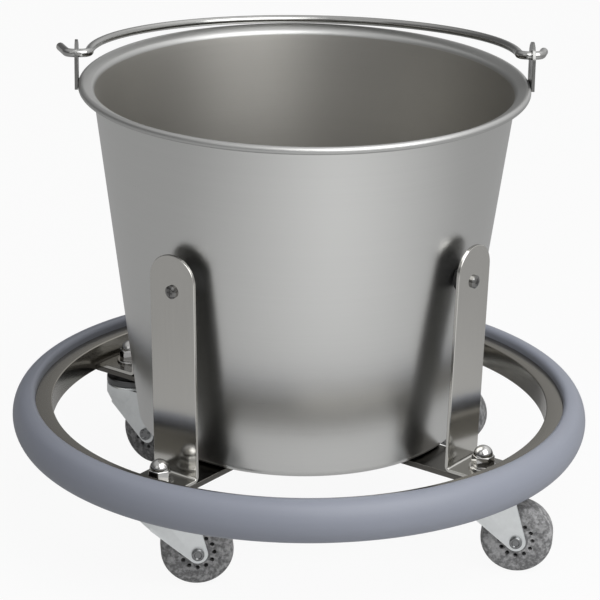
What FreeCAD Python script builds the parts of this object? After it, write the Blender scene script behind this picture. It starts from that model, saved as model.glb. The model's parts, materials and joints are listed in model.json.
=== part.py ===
import FreeCAD, Part
import math
import os
import Sketcher

# A surgical kick bucket: a stainless pail with a bail, standing in a ring-shaped carrier on four swivel
# casters. Millimetres and degrees. Z 0 is the floor, the Z axis is the pail's axis and the ears are on X.

SIZES = {
    # pail
    "rim_diameter": 318.0,
    "pail_height": 253.8,
    "pail_sheet": 1.0,
    "wall_taper": 7.4,
    "flare_radius": 14.0,
    "lip_slope": 25.0,
    "curl_radius": 2.2,
    "curl_end_angle": -60.0,
    "base_corner_radius": 6.0,
    "base_panel_radius": 85.0,
    "base_panel_rise": 1.5,
    "pail_seat_clearance": 0.2,
    # ears and bail
    "ear_width": 24.0,
    "ear_thickness": 2.2,
    "ear_top_rise": 9.5,
    "ear_drop": 23.2,
    "ear_weld_depth": 0.3,
    "eye_clearance": 0.5,
    "bail_pivot_rise": 19.2,
    "bail_wire_diameter": 6.0,
    "bail_side_inset": 7.9,
    "bail_grip_inset": 1.9,
    "bail_side_radius": 96.0,
    "bail_side_height": 10.0,
    "bail_rest_clearance": 0.3,
    "hook_inner_radius": 6.5,
    "hook_pin_length": 3.8,
    "hook_outer_radius": 6.0,
    "hook_outer_sweep": 77.0,
    "left_tail_length": 23.5,
    "right_tail_length": 12.8,
    # carrier ring and bumper
    "ring_stem_gap": 19.3,
    "ring_height": 18.8,
    "ring_flange_width": 12.2,
    "ring_sheet": 2.0,
    "bumper_height": 31.4,
    "bumper_inner_round": 3.5,
    "bumper_back_flat": 0.574,
    "bumper_shoulder_radius": 11.0,
    "bumper_crown_radius": 19.0,
    "tongue_depth": 8.0,
    "tongue_clearance": 0.15,
    # cross bars and uprights
    "carrier_turn": 6.1,
    "bar_width": 38.0,
    "bar_thickness": 4.0,
    "upright_thickness": 2.5,
    "upright_lean": 1.7,
    "upright_above_screw": 26.1,
    "upright_bend_radius": 2.0,
    "upright_top_flat": 1.0,
    "foot_past_stem": 14.0,
    # pads and their screws
    "pad_screw_height": 210.5,
    "pad_base_radius": 14.0,
    "pad_base_rim": 3.0,
    "pad_tip_radius": 9.0,
    "pad_tip_round": 1.5,
    "pad_length": 9.62,
    "pad_clearance": 0.3,
    "pad_screw_diameter": 5.0,
    "pad_screw_hole": 5.5,
    "pad_screw_head_radius": 4.7,
    "pad_screw_head_side": 1.4,
    "pad_screw_head_dome": 1.8,
    "pad_screw_length": 9.0,
    "insert_radius": 4.0,
    "insert_length": 7.5,
    # caster stems and what they clamp
    "caster_height": 68.5,
    "stem_upright_gap": 17.4,
    "stem_diameter": 9.5,
    "stem_hole_clearance": 0.4,
    "stem_reach": 11.0,
    "stem_chamfer": 0.8,
    "stem_hex_across": 17.0,
    "stem_hex_height": 4.0,
    "washer_radius": 10.0,
    "washer_thickness": 1.5,
    "nut_across": 14.3,
    "nut_hex_height": 8.0,
    "nut_dome_radius": 6.9,
    "kingpin_diameter": 8.0,
    "kingpin_head_radius": 6.5,
    "kingpin_head_height": 2.0,
    # caster swivels
    "cap_radius": 18.0,
    "cap_sheet": 1.6,
    "cap_depth": 4.9,
    "ball_diameter": 4.8,
    "ball_circle_radius": 12.5,
    "groove_depth": 0.6,
    "running_clearance": 0.05,
    "caster_trail": 26.0,
    "crown_radius": 18.0,
    "crown_skirt": 8.5,
    "crown_cone": 7.5,
    "fork_sheet": 2.0,
    "fork_side_gap": 1.6,
    "fork_back": 7.0,
    "fork_lower_slope": 40.0,
    "fork_front_slope": 15.5,
    "fork_tip_radius": 7.0,
    # caster wheels
    "axle_diameter": 6.35,
    "axle_head_radius": 4.5,
    "axle_head_height": 2.6,
    "axle_head_round": 1.2,
    "axle_nut_across": 11.1,
    "axle_nut_height": 5.0,
    "axle_thread_proud": 1.2,
    "sleeve_diameter": 9.5,
    "wheel_diameter": 50.8,
    "wheel_width": 22.0,
    "tread_round": 5.0,
    "core_radius": 8.5,
    "core_proud": 1.0,
    "wheel_hole_circle_radius": 11.6,
    "wheel_hole_diameter": 3.2,
}

BALL_COUNT = 10
WHEEL_HOLE_COUNT = 12

# Each caster's place round the carrier, and where its free swivel has come to rest.
CASTERS = {
    "front_left": {"place": -135.0, "swivel": 2.7},
    "front_right": {"place": -45.0, "swivel": -9.3},
    "rear_right": {"place": 45.0, "swivel": -22.3},
    "rear_left": {"place": 135.0, "swivel": -37.3},
}

UP = FreeCAD.Vector(0, 0, 1)
ORIGIN = FreeCAD.Vector(0, 0, 0)
LEFT = 1
RIGHT = -1


class Size:
    """A length or an angle: its value, and the spreadsheet expression that gives it."""

    def __init__(self, value, text):
        self.value = value
        self.text = text

    def joined(self, other, sign, result):
        return Size(result, f"({self.text} {sign} {as_size(other).text})")

    def __add__(self, other):
        return self.joined(other, "+", self.value + as_size(other).value)

    def __sub__(self, other):
        return self.joined(other, "-", self.value - as_size(other).value)

    def __mul__(self, other):
        return self.joined(other, "*", self.value * as_size(other).value)

    def __truediv__(self, other):
        return self.joined(other, "/", self.value / as_size(other).value)

    def __neg__(self):
        return Size(-self.value, f"(0 - {self.text})")


def as_size(number):
    if isinstance(number, Size):
        return number
    return Size(float(number), f"{float(number):.6f}")


def size(name):
    return Size(SIZES[name], f"Sizes.{name}")


def cosine(angle):
    return Size(math.cos(math.radians(angle.value)), f"cos({angle.text})")


def sine(angle):
    return Size(math.sin(math.radians(angle.value)), f"sin({angle.text})")


def tangent(angle):
    return Size(math.tan(math.radians(angle.value)), f"tan({angle.text})")


def root(square):
    return Size(math.sqrt(square.value), f"sqrt({square.text})")


def polar(centre, radius, angle):
    """The point at an angle on a circle, counted from the sketch's first axis."""
    return (centre[0] + radius * cosine(angle), centre[1] + radius * sine(angle))


ZERO = Size(0.0, "0")
SQUARE = as_size(90)

doc = FreeCAD.newDocument("kick_bucket")
DERIVED = {}


def derived(name, amount):
    """Give a size that is worked out from others a cell of its own, which expressions then name."""
    DERIVED[name] = amount
    return Size(amount.value, f"Sizes.{name}")


def fill_sheet():
    """The driving sizes, then those worked out from them."""
    sheet = doc.addObject("Spreadsheet::Sheet", "Sizes")
    cells = {name: str(value) for name, value in SIZES.items()}
    cells.update((name, "=" + amount.text.replace("Sizes.", "")) for name, amount in DERIVED.items())
    for row, (name, content) in enumerate(cells.items(), start=1):
        sheet.set(f"A{row}", name)
        sheet.set(f"B{row}", content)
        sheet.setAlias(f"B{row}", name)
    doc.recompute()


# ---------------------------------------------------------------- sketches and features


def new_sketch(body, name, plane):
    sketch = body.newObject("Sketcher::SketchObject", name)
    sketch.AttachmentSupport = (origin_plane(body, plane), "")
    sketch.MapMode = "FlatFace"
    return sketch


def origin_plane(body, role):
    return next(feature for feature in body.Origin.OriginFeatures if feature.Role == role)


def vector(point):
    return FreeCAD.Vector(point[0].value, point[1].value, 0)


def fix_point(sketch, geometry, end, point):
    """Hold one end or the centre of a sketch element at the point, by its two coordinates."""
    for kind, level, coordinate in (("DistanceX", "Vertical", point[0]), ("DistanceY", "Horizontal", point[1])):
        if coordinate is ZERO:
            sketch.addConstraint(Sketcher.Constraint(level, -1, 1, geometry, end))
            continue
        index = sketch.addConstraint(Sketcher.Constraint(kind, -1, 1, geometry, end, coordinate.value))
        sketch.setExpression(f"Constraints[{index}]", coordinate.text)


def fix_radius(sketch, geometry, radius):
    index = sketch.addConstraint(Sketcher.Constraint("Radius", geometry, radius.value))
    sketch.setExpression(f"Constraints[{index}]", radius.text)


def add_edge(sketch, start, end, arc):
    """A line, or an arc given as its radius and the side it turns to. Gives the edge and its two ends."""
    first, last = vector(start), vector(end)
    if arc is None:
        return sketch.addGeometry(Part.LineSegment(first, last), False), 1, 2
    radius, side = arc
    half = (last - first) * 0.5
    across = FreeCAD.Vector(-half.y, half.x, 0).normalize()
    offset = math.sqrt(max(radius.value ** 2 - half.Length ** 2, 0.0))
    centre = first + half + across * offset * side
    ends = (first, last) if side == LEFT else (last, first)
    angles = [math.atan2(point.y - centre.y, point.x - centre.x) for point in ends]
    index = sketch.addGeometry(Part.ArcOfCircle(Part.Circle(centre, UP, radius.value), *angles), False)
    fix_radius(sketch, index, radius)
    return (index, 1, 2) if side == LEFT else (index, 2, 1)


def draw(sketch, steps, closed=True):
    """Edges through the steps' points. A step is a point and the arc that leaves it, or None for a line."""
    points = [step[0] for step in steps]
    count = len(steps) if closed else len(steps) - 1
    edges = []
    for number in range(count):
        following = points[(number + 1) % len(points)]
        edges.append(add_edge(sketch, points[number], following, steps[number][1]))
    for number, (index, start, end) in enumerate(edges):
        fix_point(sketch, index, start, points[number])
        if closed or number + 1 < len(edges):
            neighbour = edges[(number + 1) % len(edges)]
            sketch.addConstraint(Sketcher.Constraint("Coincident", index, end, neighbour[0], neighbour[1]))
    if not closed:
        fix_point(sketch, edges[-1][0], edges[-1][2], points[-1])


def draw_circle(sketch, centre, radius):
    index = sketch.addGeometry(Part.Circle(vector(centre), UP, radius.value), False)
    fix_point(sketch, index, 3, centre)
    fix_radius(sketch, index, radius)


def lines(*points):
    return [(point, None) for point in points]


def revolve(body, sketch, kind="PartDesign::Revolution"):
    """Turn the sketch a full round about the body's own Z axis, to add it or, as a groove, to cut it."""
    feature = body.newObject(kind, f"{sketch.Name}_round")
    feature.Profile = sketch
    feature.ReferenceAxis = (sketch, ["V_Axis"])
    feature.Angle = 360
    return feature


def extrude(body, sketch, length, kind="PartDesign::Pad", sides="Symmetric"):
    """Push the sketch out by the length, half to each side of its plane unless told otherwise."""
    feature = body.newObject(kind, f"{sketch.Name}_solid")
    feature.Profile = sketch
    feature.SideType = sides
    feature.setExpression("Length", length.text)
    return feature


def cut_through(body, sketch, length):
    return extrude(body, sketch, length, kind="PartDesign::Pocket")


def turned_body(name, steps):
    """A body of revolution about its own Z axis, from an outline in radius and height."""
    body = doc.addObject("PartDesign::Body", name)
    sketch = new_sketch(body, f"{name}_section", "XZ_Plane")
    draw(sketch, steps)
    revolve(body, sketch)
    return body


def cylinder(name, radius, height, base):
    solid = doc.addObject("Part::Cylinder", name)
    solid.setExpression("Radius", radius.text)
    solid.setExpression("Height", height.text)
    solid.setExpression("Placement.Base.z", base.text)
    return solid


def sphere(name, radius, centre):
    solid = doc.addObject("Part::Sphere", name)
    solid.setExpression("Radius", radius.text)
    for axis, coordinate in zip("xyz", centre):
        solid.setExpression(f"Placement.Base.{axis}", coordinate.text)
    return solid


def hexagon(name, across, height, base):
    """A hexagonal prism, by the distance across its flats."""
    solid = doc.addObject("Part::Prism", name)
    solid.Polygon = 6
    solid.setExpression("Circumradius", (across / cosine(as_size(30)) / 2).text)
    solid.setExpression("Height", height.text)
    solid.setExpression("Placement.Base.z", base.text)
    return solid


def combine(kind, name, base, tool):
    result = doc.addObject(kind, name)
    result.Base = base
    result.Tool = tool
    return result


def gather(name, members):
    """Equal small pieces in one node, each a solid of its own."""
    group = doc.addObject("Part::Compound", name)
    group.Links = members
    return group


def placed(part, frame):
    part.Placement = frame
    return part


# ---------------------------------------------------------------- heights and radii that pieces share

half_sheet = size("pail_sheet") / 2
rim_radius = size("rim_diameter") / 2
bar_bottom = size("caster_height")
bar_top = bar_bottom + size("bar_thickness")
foot_top = bar_top + size("upright_thickness")
pail_base = bar_top + size("pail_seat_clearance")
rim_top = pail_base + size("pail_height")
pivot_height = rim_top + size("bail_pivot_rise")
wire_radius = size("bail_wire_diameter") / 2
nut_base = foot_top + size("washer_thickness")
stem_top = nut_base + size("stem_reach")
stem_radius = size("stem_diameter") / 2
stem_hole_radius = stem_radius + size("stem_hole_clearance")
kingpin_radius = size("kingpin_diameter") / 2
wheel_radius = size("wheel_diameter") / 2
axle_radius = size("axle_diameter") / 2
fork_gap = size("wheel_width") + size("fork_side_gap") * 2
fork_side = fork_gap / 2 + size("fork_sheet")
ball_radius = size("ball_diameter") / 2
race_radius = ball_radius + size("running_clearance")
cap_top = bar_bottom - size("stem_hex_height")
cap_roof = cap_top - size("cap_sheet")
ball_height = cap_roof + size("groove_depth") - race_radius
crown_top = ball_height - ball_radius + size("groove_depth")
crown_roof = crown_top - size("fork_sheet")
lower_end = polar((size("caster_trail"), wheel_radius), size("fork_tip_radius"), -size("fork_lower_slope") - SQUARE)

# The pail's section, along the middle of its sheet: the wall runs straight from the base corner's arc to
# the lip's arc, and the curl's arc takes over where the lip still rises outwards at its slope.
taper = size("wall_taper")
slope = size("lip_slope")
curl_centre = (rim_radius - size("curl_radius") - half_sheet, rim_top - size("curl_radius") - half_sheet)
lip_centre = polar(curl_centre, size("flare_radius") - size("curl_radius"), slope - SQUARE)
wall_top = polar(lip_centre, -size("flare_radius"), -taper)
corner_height = pail_base + half_sheet + size("base_corner_radius")
wall_foot_height = corner_height - size("base_corner_radius") * sine(taper)
wall_foot_radius = derived("wall_foot_radius", wall_top[0] - (wall_top[1] - wall_foot_height) * tangent(taper))
corner_centre = (wall_foot_radius - size("base_corner_radius") * cosine(taper), corner_height)


def wall_outside(height):
    """The radius of the wall's outer face at a height."""
    return wall_foot_radius + (height - wall_foot_height) * tangent(taper) + half_sheet / cosine(taper)


# The carrier is set out from the pail's wall: pad, upright, caster stem and ring follow one another outwards.
# A pad's tip is cut square to the leaning upright, so its upper edge comes nearest to the wall.
lean = size("upright_lean")
pad_reach = size("pad_length") + size("pad_clearance") + size("pad_tip_radius") * tangent(taper - lean)
pad_level_reach = pad_reach * cosine(taper - lean) / cosine(taper)
upright_inside = derived("upright_inside", wall_outside(size("pad_screw_height")) + pad_level_reach)


def upright_face(height):
    """The radius of an upright's outer face at a height."""
    rise = height - size("pad_screw_height")
    return upright_inside + size("upright_thickness") / cosine(lean) + rise * tangent(lean)


upright_top = derived("upright_top", size("pad_screw_height") + size("upright_above_screw"))
caster_circle_radius = derived("caster_circle_radius", upright_face(bar_top) + size("stem_upright_gap"))
ring_inner_radius = derived("ring_inner_radius", caster_circle_radius + size("ring_stem_gap"))
ring_outer_radius = ring_inner_radius + size("ring_flange_width")
bail_half_width = derived("bail_half_width", rim_radius - size("bail_side_inset"))
bail_reach = derived("bail_reach", rim_radius - size("bail_grip_inset"))


# ---------------------------------------------------------------- pail


def make_pail_shell():
    """Drawn shell: dished base, round corner, tapered wall, bell-mouthed lip and curled edge."""
    sheet = size("pail_sheet")
    flare = size("flare_radius")
    curl = size("curl_radius")
    corner = size("base_corner_radius")
    curl_end = size("curl_end_angle")
    panel = size("base_panel_radius")
    step = panel + size("base_panel_rise")
    panel_height = pail_base + size("base_panel_rise")
    lip_end = slope + SQUARE
    outside = [
        ((ZERO, panel_height), None),
        ((panel, panel_height), None),
        ((step, pail_base), None),
        ((corner_centre[0], pail_base), (corner + half_sheet, LEFT)),
        (polar(corner_centre, corner + half_sheet, -taper), None),
        (polar(lip_centre, -(flare - half_sheet), -taper), (flare - half_sheet, RIGHT)),
        (polar(curl_centre, curl - half_sheet, lip_end), (curl - half_sheet, RIGHT)),
        (polar(curl_centre, curl - half_sheet, curl_end), None),
    ]
    inside = [
        (polar(curl_centre, curl + half_sheet, curl_end), (curl + half_sheet, LEFT)),
        (polar(curl_centre, curl + half_sheet, lip_end), (flare + half_sheet, LEFT)),
        (polar(lip_centre, -(flare + half_sheet), -taper), None),
        (polar(corner_centre, corner - half_sheet, -taper), (corner - half_sheet, RIGHT)),
        ((corner_centre[0], pail_base + sheet), None),
        ((step, pail_base + sheet), None),
        ((panel, panel_height + sheet), None),
        ((ZERO, panel_height + sheet), None),
    ]
    return turned_body("pail_shell", outside + inside)


def make_ear(name, side):
    """A lug with a round top and an eye, hollowed to sit against the curl. Side is 1 on +X and -1 on -X."""
    half = size("ear_width") / 2
    shoulder = pivot_height + size("ear_top_rise") - half
    bottom = pivot_height - size("ear_drop")
    plate = doc.addObject("PartDesign::Body", f"{name}_plate")
    outline = new_sketch(plate, f"{name}_outline", "YZ_Plane")
    draw(outline, [
        ((-half, bottom), None),
        ((half, bottom), None),
        ((half, shoulder), (half, LEFT)),
        ((ZERO, shoulder + half), (half, LEFT)),
        ((-half, shoulder), None),
    ])
    draw_circle(outline, (ZERO, pivot_height), wire_radius + size("eye_clearance"))
    extrude(plate, outline, size("ear_thickness"))
    middle = rim_radius - size("ear_weld_depth") + size("ear_thickness") / 2
    plate.setExpression("Placement.Base.x", (middle * side).text)
    curl_round = cylinder(f"{name}_curl_round", rim_radius, rim_top, bar_top)
    return combine("Part::Cut", name, plate, curl_round)


# ---------------------------------------------------------------- bail


def bail_rest_tilt():
    """How far the bail drops below level until its grip lies on the rim's curl."""
    reach = bail_reach.value
    least = (size("curl_radius") + half_sheet + wire_radius + size("bail_rest_clearance")).value
    curl_across = curl_centre[0].value
    curl_down = (pivot_height - curl_centre[1]).value
    square = curl_across ** 2 + curl_down ** 2
    spread = (square + reach ** 2 - least ** 2) / (2 * reach * math.sqrt(square))
    return math.degrees(math.atan2(curl_down, curl_across) - math.acos(spread))


def bail_path(tail):
    """Half of the wire's middle line: arch of two arcs, bend out, pin through the eye, hook and tail."""
    side = size("bail_side_radius")
    inner = size("hook_inner_radius")
    outer = size("hook_outer_radius")
    sweep = size("hook_outer_sweep")
    side_centre = (bail_half_width - side, size("bail_side_height"))
    depth = bail_reach - side_centre[1]
    crown = (side_centre[0] * side_centre[0] + depth * depth - side * side) / ((depth - side) * 2)
    crown_base = bail_reach - crown
    shoulder_share = crown / (crown - side)
    shoulder = (side_centre[0] * shoulder_share, crown_base + (side_centre[1] - crown_base) * shoulder_share)
    drop = side_centre[1] - inner
    span = root((side + inner) * (side + inner) - drop * drop)
    leg_share = side / (side + inner)
    leg_foot = (side_centre[0] + span * leg_share, side_centre[1] - drop * leg_share)
    pin_start = side_centre[0] + span
    pin_end = pin_start + size("hook_pin_length")
    tail_start = polar((pin_end, outer), outer, sweep - SQUARE)
    return [
        ((ZERO, bail_reach), (crown, RIGHT)),
        (shoulder, (side, RIGHT)),
        (leg_foot, (inner, LEFT)),
        ((pin_start, ZERO), None),
        ((pin_end, ZERO), (outer, LEFT)),
        (tail_start, None),
        (polar(tail_start, tail, sweep), None),
    ]


def mirrored(steps):
    """The same steps on the other side of the Y axis."""
    return [
        ((across if across is ZERO else -across, along), arc and (arc[0], -arc[1]))
        for (across, along), arc in steps
    ]


def make_bail():
    """One bent wire, its pivot on its own X axis and its grip towards +Y, laid back onto the rim.

    The two halves are alike but for the ends outside the ears: the left one is left longer.
    """
    body = doc.addObject("PartDesign::Body", "bail")
    section = new_sketch(body, "bail_section", "YZ_Plane")
    draw_circle(section, (bail_reach, ZERO), wire_radius)
    halves = {
        "right": bail_path(size("right_tail_length")),
        "left": mirrored(bail_path(size("left_tail_length"))),
    }
    for side, steps in halves.items():
        path = new_sketch(body, f"bail_{side}_path", "XY_Plane")
        draw(path, steps, closed=False)
        half = body.newObject("PartDesign::AdditivePipe", f"bail_{side}")
        half.Profile = section
        half.Spine = (path, [f"Edge{number}" for number in range(1, len(steps))])
    laid_back = FreeCAD.Rotation(FreeCAD.Vector(1, 0, 0), -bail_rest_tilt())
    return placed(body, FreeCAD.Placement(FreeCAD.Vector(0, 0, pivot_height.value), laid_back))


# ---------------------------------------------------------------- carrier ring, bumper and bars


def make_carrier_ring():
    """Rolled channel with its open side outwards."""
    inside = ring_inner_radius
    gauge = size("ring_sheet")
    top = bar_bottom + size("ring_height")
    return turned_body("carrier_ring", lines(
        (inside, bar_bottom),
        (ring_outer_radius, bar_bottom),
        (ring_outer_radius, bar_bottom + gauge),
        (inside + gauge, bar_bottom + gauge),
        (inside + gauge, top - gauge),
        (ring_outer_radius, top - gauge),
        (ring_outer_radius, top),
        (inside, top),
    ))


def make_bumper():
    """D strip with rounded shoulders: its back lies on the flanges' edges, its tongue fills the channel."""
    half = size("bumper_height") / 2
    edge = size("bumper_inner_round")
    shoulder = size("bumper_shoulder_radius")
    crown = size("bumper_crown_radius")
    back = ring_outer_radius
    middle = bar_bottom + size("ring_height") / 2
    lift = half - shoulder
    spread = root((crown - shoulder) * (crown - shoulder) - lift * lift)
    flat_end = back + edge + size("bumper_back_flat")
    crown_share = crown / (crown - shoulder)
    crown_edge = flat_end + spread * (crown_share - 1)
    crown_half = lift * crown_share
    tongue_half = size("ring_height") / 2 - size("ring_sheet") - size("tongue_clearance")
    tongue_end = back - size("tongue_depth")
    return turned_body("bumper", [
        ((back, middle - tongue_half), None),
        ((back, middle - half + edge), (edge, LEFT)),
        ((back + edge, middle - half), None),
        ((flat_end, middle - half), (shoulder, LEFT)),
        ((crown_edge, middle - crown_half), (crown, LEFT)),
        ((crown_edge, middle + crown_half), (shoulder, LEFT)),
        ((flat_end, middle + half), None),
        ((back + edge, middle + half), (edge, LEFT)),
        ((back, middle + half - edge), None),
        ((back, middle + tongue_half), None),
        ((tongue_end, middle + tongue_half), None),
        ((tongue_end, middle - tongue_half), None),
    ])


def arm_turn(caster):
    """An arm's direction: the carrier stands a little turned under the pail."""
    return FreeCAD.Rotation(UP, CASTERS[caster]["place"] + SIZES["carrier_turn"])


def make_bar(name, caster, outline, holes):
    """A flat bar along its own X axis, with a hole for each stem."""
    body = doc.addObject("PartDesign::Body", name)
    sketch = new_sketch(body, f"{name}_outline", "XY_Plane")
    draw(sketch, outline)
    for place in holes:
        draw_circle(sketch, (place, ZERO), stem_hole_radius)
    extrude(body, sketch, size("bar_thickness"), sides="One side")
    placed(body, FreeCAD.Placement(ORIGIN, arm_turn(caster)))
    body.setExpression("Placement.Base.z", bar_bottom.text)
    return body


def make_cross_bars():
    """One bar right across and two half bars butted on its edges, every end coped to the ring's bore."""
    half = size("bar_width") / 2
    inside = ring_inner_radius
    stem = caster_circle_radius
    corner = root(inside * inside - half * half)
    outer_end = [((corner, -half), (inside, LEFT)), ((corner, half), None)]
    far_end = [((-corner, half), (inside, LEFT)), ((-corner, -half), None)]
    butt_end = lines((half, half), (half, -half))
    return [
        make_bar("cross_bar_full", "rear_right", outer_end + far_end, (stem, -stem)),
        make_bar("cross_bar_half_front", "front_right", outer_end + butt_end, (stem,)),
        make_bar("cross_bar_half_rear", "rear_left", outer_end + butt_end, (stem,)),
    ]


# ---------------------------------------------------------------- uprights


def round_top_corners(body, base, name):
    """Round the two corners at the strip's top, across its width."""
    corners = []
    for number, edge in enumerate(base.Shape.Edges, start=1):
        box = edge.BoundBox
        at_side = abs(abs(box.Center.y) - SIZES["bar_width"] / 2) < 1e-6
        at_top = box.ZMin > upright_top.value - SIZES["upright_thickness"]
        if at_side and at_top and edge.Length < SIZES["upright_thickness"] * 1.01:
            corners.append(f"Edge{number}")
    rounding = body.newObject("PartDesign::Fillet", f"{name}_rounding")
    rounding.Base = (base, corners)
    rounding.setExpression("Radius", ((size("bar_width") - size("upright_top_flat")) / 2).text)


def make_upright(caster):
    """A strip with a rounded top, bent out at its foot, bored for the pad's screw and the caster's stem."""
    name = f"upright_{caster}"
    gauge = size("upright_thickness")
    bend = size("upright_bend_radius")
    bend_face = upright_face(foot_top + bend + bend * sine(lean))
    bend_centre = (bend_face + bend * cosine(lean), foot_top + bend)
    foot_end = caster_circle_radius + size("foot_past_stem")
    face_top = (upright_face(upright_top), upright_top)
    body = doc.addObject("PartDesign::Body", name)
    section = new_sketch(body, f"{name}_section", "XZ_Plane")
    draw(section, [
        ((foot_end, bar_top), None),
        ((foot_end, foot_top), None),
        ((bend_centre[0], foot_top), (bend, RIGHT)),
        (polar(bend_centre, -bend, -lean), None),
        (face_top, None),
        (polar(face_top, -gauge, -lean), None),
        (polar(bend_centre, -(bend + gauge), -lean), (bend + gauge, LEFT)),
        ((bend_centre[0], bar_top), None),
    ])
    extrude(body, section, size("bar_width"))
    stem_hole = new_sketch(body, f"{name}_stem_hole", "XY_Plane")
    draw_circle(stem_hole, (caster_circle_radius, ZERO), stem_hole_radius)
    cut_through(body, stem_hole, foot_top * 3)
    screw_hole = new_sketch(body, f"{name}_screw_hole", "YZ_Plane")
    draw_circle(screw_hole, (ZERO, size("pad_screw_height")), size("pad_screw_hole") / 2)
    bored = cut_through(body, screw_hole, face_top[0] * 3)
    doc.recompute()
    round_top_corners(body, bored, name)
    return placed(body, FreeCAD.Placement(ORIGIN, arm_turn(caster)))


# ---------------------------------------------------------------- pads and their screws


def pad_frame(caster):
    """Origin on the upright's inner face at the screw, Z square to that face and pointing at the pail."""
    turn = arm_turn(caster)
    base = turn.multVec(FreeCAD.Vector(upright_inside.value, 0, SIZES["pad_screw_height"]))
    return FreeCAD.Placement(base, turn.multiply(FreeCAD.Rotation(FreeCAD.Vector(0, 1, 0), lean.value - 90)))


def make_pad(caster):
    """A rubber button, wide on the upright and narrow at its tip, moulded round its insert."""
    base = size("pad_base_radius")
    tip = size("pad_tip_radius")
    edge = size("pad_tip_round")
    length = size("pad_length")
    insert = (size("insert_radius"), size("insert_length"))
    body = turned_body(f"pad_{caster}", [
        ((insert[0], ZERO), None),
        ((base, ZERO), None),
        ((base, size("pad_base_rim")), None),
        ((tip, length - edge), (edge, LEFT)),
        ((tip - edge, length), None),
        ((ZERO, length), None),
        ((ZERO, insert[1]), None),
        (insert, None),
    ])
    return placed(body, pad_frame(caster))


def make_insert(caster):
    """The threaded bush that the pad's screw bites into."""
    bore = size("pad_screw_diameter") / 2
    outside = size("insert_radius")
    length = size("insert_length")
    bush = turned_body(f"insert_{caster}", lines((bore, ZERO), (outside, ZERO), (outside, length), (bore, length)))
    return placed(bush, pad_frame(caster))


def make_pad_screw(caster):
    """Pan head on the upright's outer face, shank through the strip and into the insert."""
    shank = size("pad_screw_diameter") / 2
    head = size("pad_screw_head_radius")
    dome = size("pad_screw_head_dome")
    seat = -size("upright_thickness")
    shank_end = seat + size("pad_screw_length")
    head_edge = seat - size("pad_screw_head_side")
    dome_radius = (head * head + dome * dome) / (dome * 2)
    screw = turned_body(f"pad_screw_{caster}", [
        ((ZERO, head_edge - dome), None),
        ((ZERO, shank_end), None),
        ((shank, shank_end), None),
        ((shank, seat), None),
        ((head, seat), None),
        ((head, head_edge), (dome_radius, RIGHT)),
    ])
    return placed(screw, pad_frame(caster))


# ---------------------------------------------------------------- stems and what they clamp


def stem_frame(caster):
    """Origin on the floor below a caster's stem, turned with its arm."""
    turn = arm_turn(caster)
    return FreeCAD.Placement(turn.multVec(FreeCAD.Vector(caster_circle_radius.value, 0, 0)), turn)


def make_stem_washer(caster):
    outside = size("washer_radius")
    washer = turned_body(f"stem_washer_{caster}", lines(
        (stem_hole_radius, foot_top),
        (outside, foot_top),
        (outside, nut_base),
        (stem_hole_radius, nut_base),
    ))
    return placed(washer, stem_frame(caster))


def make_acorn_nut(caster):
    """A hexagon with a domed cap, its blind bore ending inside the dome."""
    name = f"acorn_nut_{caster}"
    hexa = hexagon(f"{name}_hex", size("nut_across"), size("nut_hex_height"), nut_base)
    dome = sphere(f"{name}_dome", size("nut_dome_radius"), (ZERO, ZERO, nut_base + size("nut_hex_height")))
    whole = combine("Part::Fuse", f"{name}_whole", hexa, dome)
    bore = cylinder(f"{name}_bore", stem_radius, size("washer_thickness") + size("stem_reach"), foot_top)
    return placed(combine("Part::Cut", name, whole, bore), stem_frame(caster))


def make_stem(caster):
    """Stud, hexagon shoulder under the bar, kingpin and its peened head, in one piece."""
    name = f"caster_stem_{caster}"
    head = size("kingpin_head_radius")
    chamfer = size("stem_chamfer")
    head_top = crown_roof - size("running_clearance")
    head_bottom = head_top - size("kingpin_head_height")
    shaft = turned_body(f"{name}_shaft", lines(
        (ZERO, head_bottom),
        (head - chamfer, head_bottom),
        (head, head_bottom + chamfer),
        (head, head_top),
        (kingpin_radius, head_top),
        (kingpin_radius, cap_top),
        (stem_radius, cap_top),
        (stem_radius, stem_top - chamfer),
        (stem_radius - chamfer, stem_top),
        (ZERO, stem_top),
    ))
    shoulder = hexagon(f"{name}_shoulder", size("stem_hex_across"), size("stem_hex_height"), cap_top)
    return placed(combine("Part::Fuse", name, shaft, shoulder), stem_frame(caster))


def make_race_cap(caster):
    """Upper raceway: a shallow pressed cup over the balls."""
    outer = size("cap_radius")
    gauge = size("cap_sheet")
    skirt_end = cap_top - size("cap_depth")
    circle = size("ball_circle_radius")
    rise = race_radius - size("groove_depth")
    groove_half = root(race_radius * race_radius - rise * rise)
    cap = turned_body(f"race_cap_{caster}", [
        ((kingpin_radius, cap_roof), None),
        ((circle - groove_half, cap_roof), (race_radius, RIGHT)),
        ((circle + groove_half, cap_roof), None),
        ((outer - gauge, cap_roof), None),
        ((outer - gauge, skirt_end), None),
        ((outer, skirt_end), None),
        ((outer, cap_top - gauge), (gauge, LEFT)),
        ((outer - gauge, cap_top), None),
        ((kingpin_radius, cap_top), None),
    ])
    return placed(cap, stem_frame(caster))


# ---------------------------------------------------------------- caster swivels


def swivel_frame(caster):
    """Origin on the floor below the stem, X towards the trailing wheel."""
    return FreeCAD.Placement(stem_frame(caster).Base, FreeCAD.Rotation(UP, CASTERS[caster]["swivel"]))


def axle_frame(caster):
    """Origin in the middle of the wheel, Z along the axle and out of the side with the bolt's head."""
    own = FreeCAD.Placement(
        FreeCAD.Vector(SIZES["caster_trail"], 0, wheel_radius.value),
        FreeCAD.Rotation(FreeCAD.Vector(1, 0, 0), 90),
    )
    return swivel_frame(caster).multiply(own)


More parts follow.
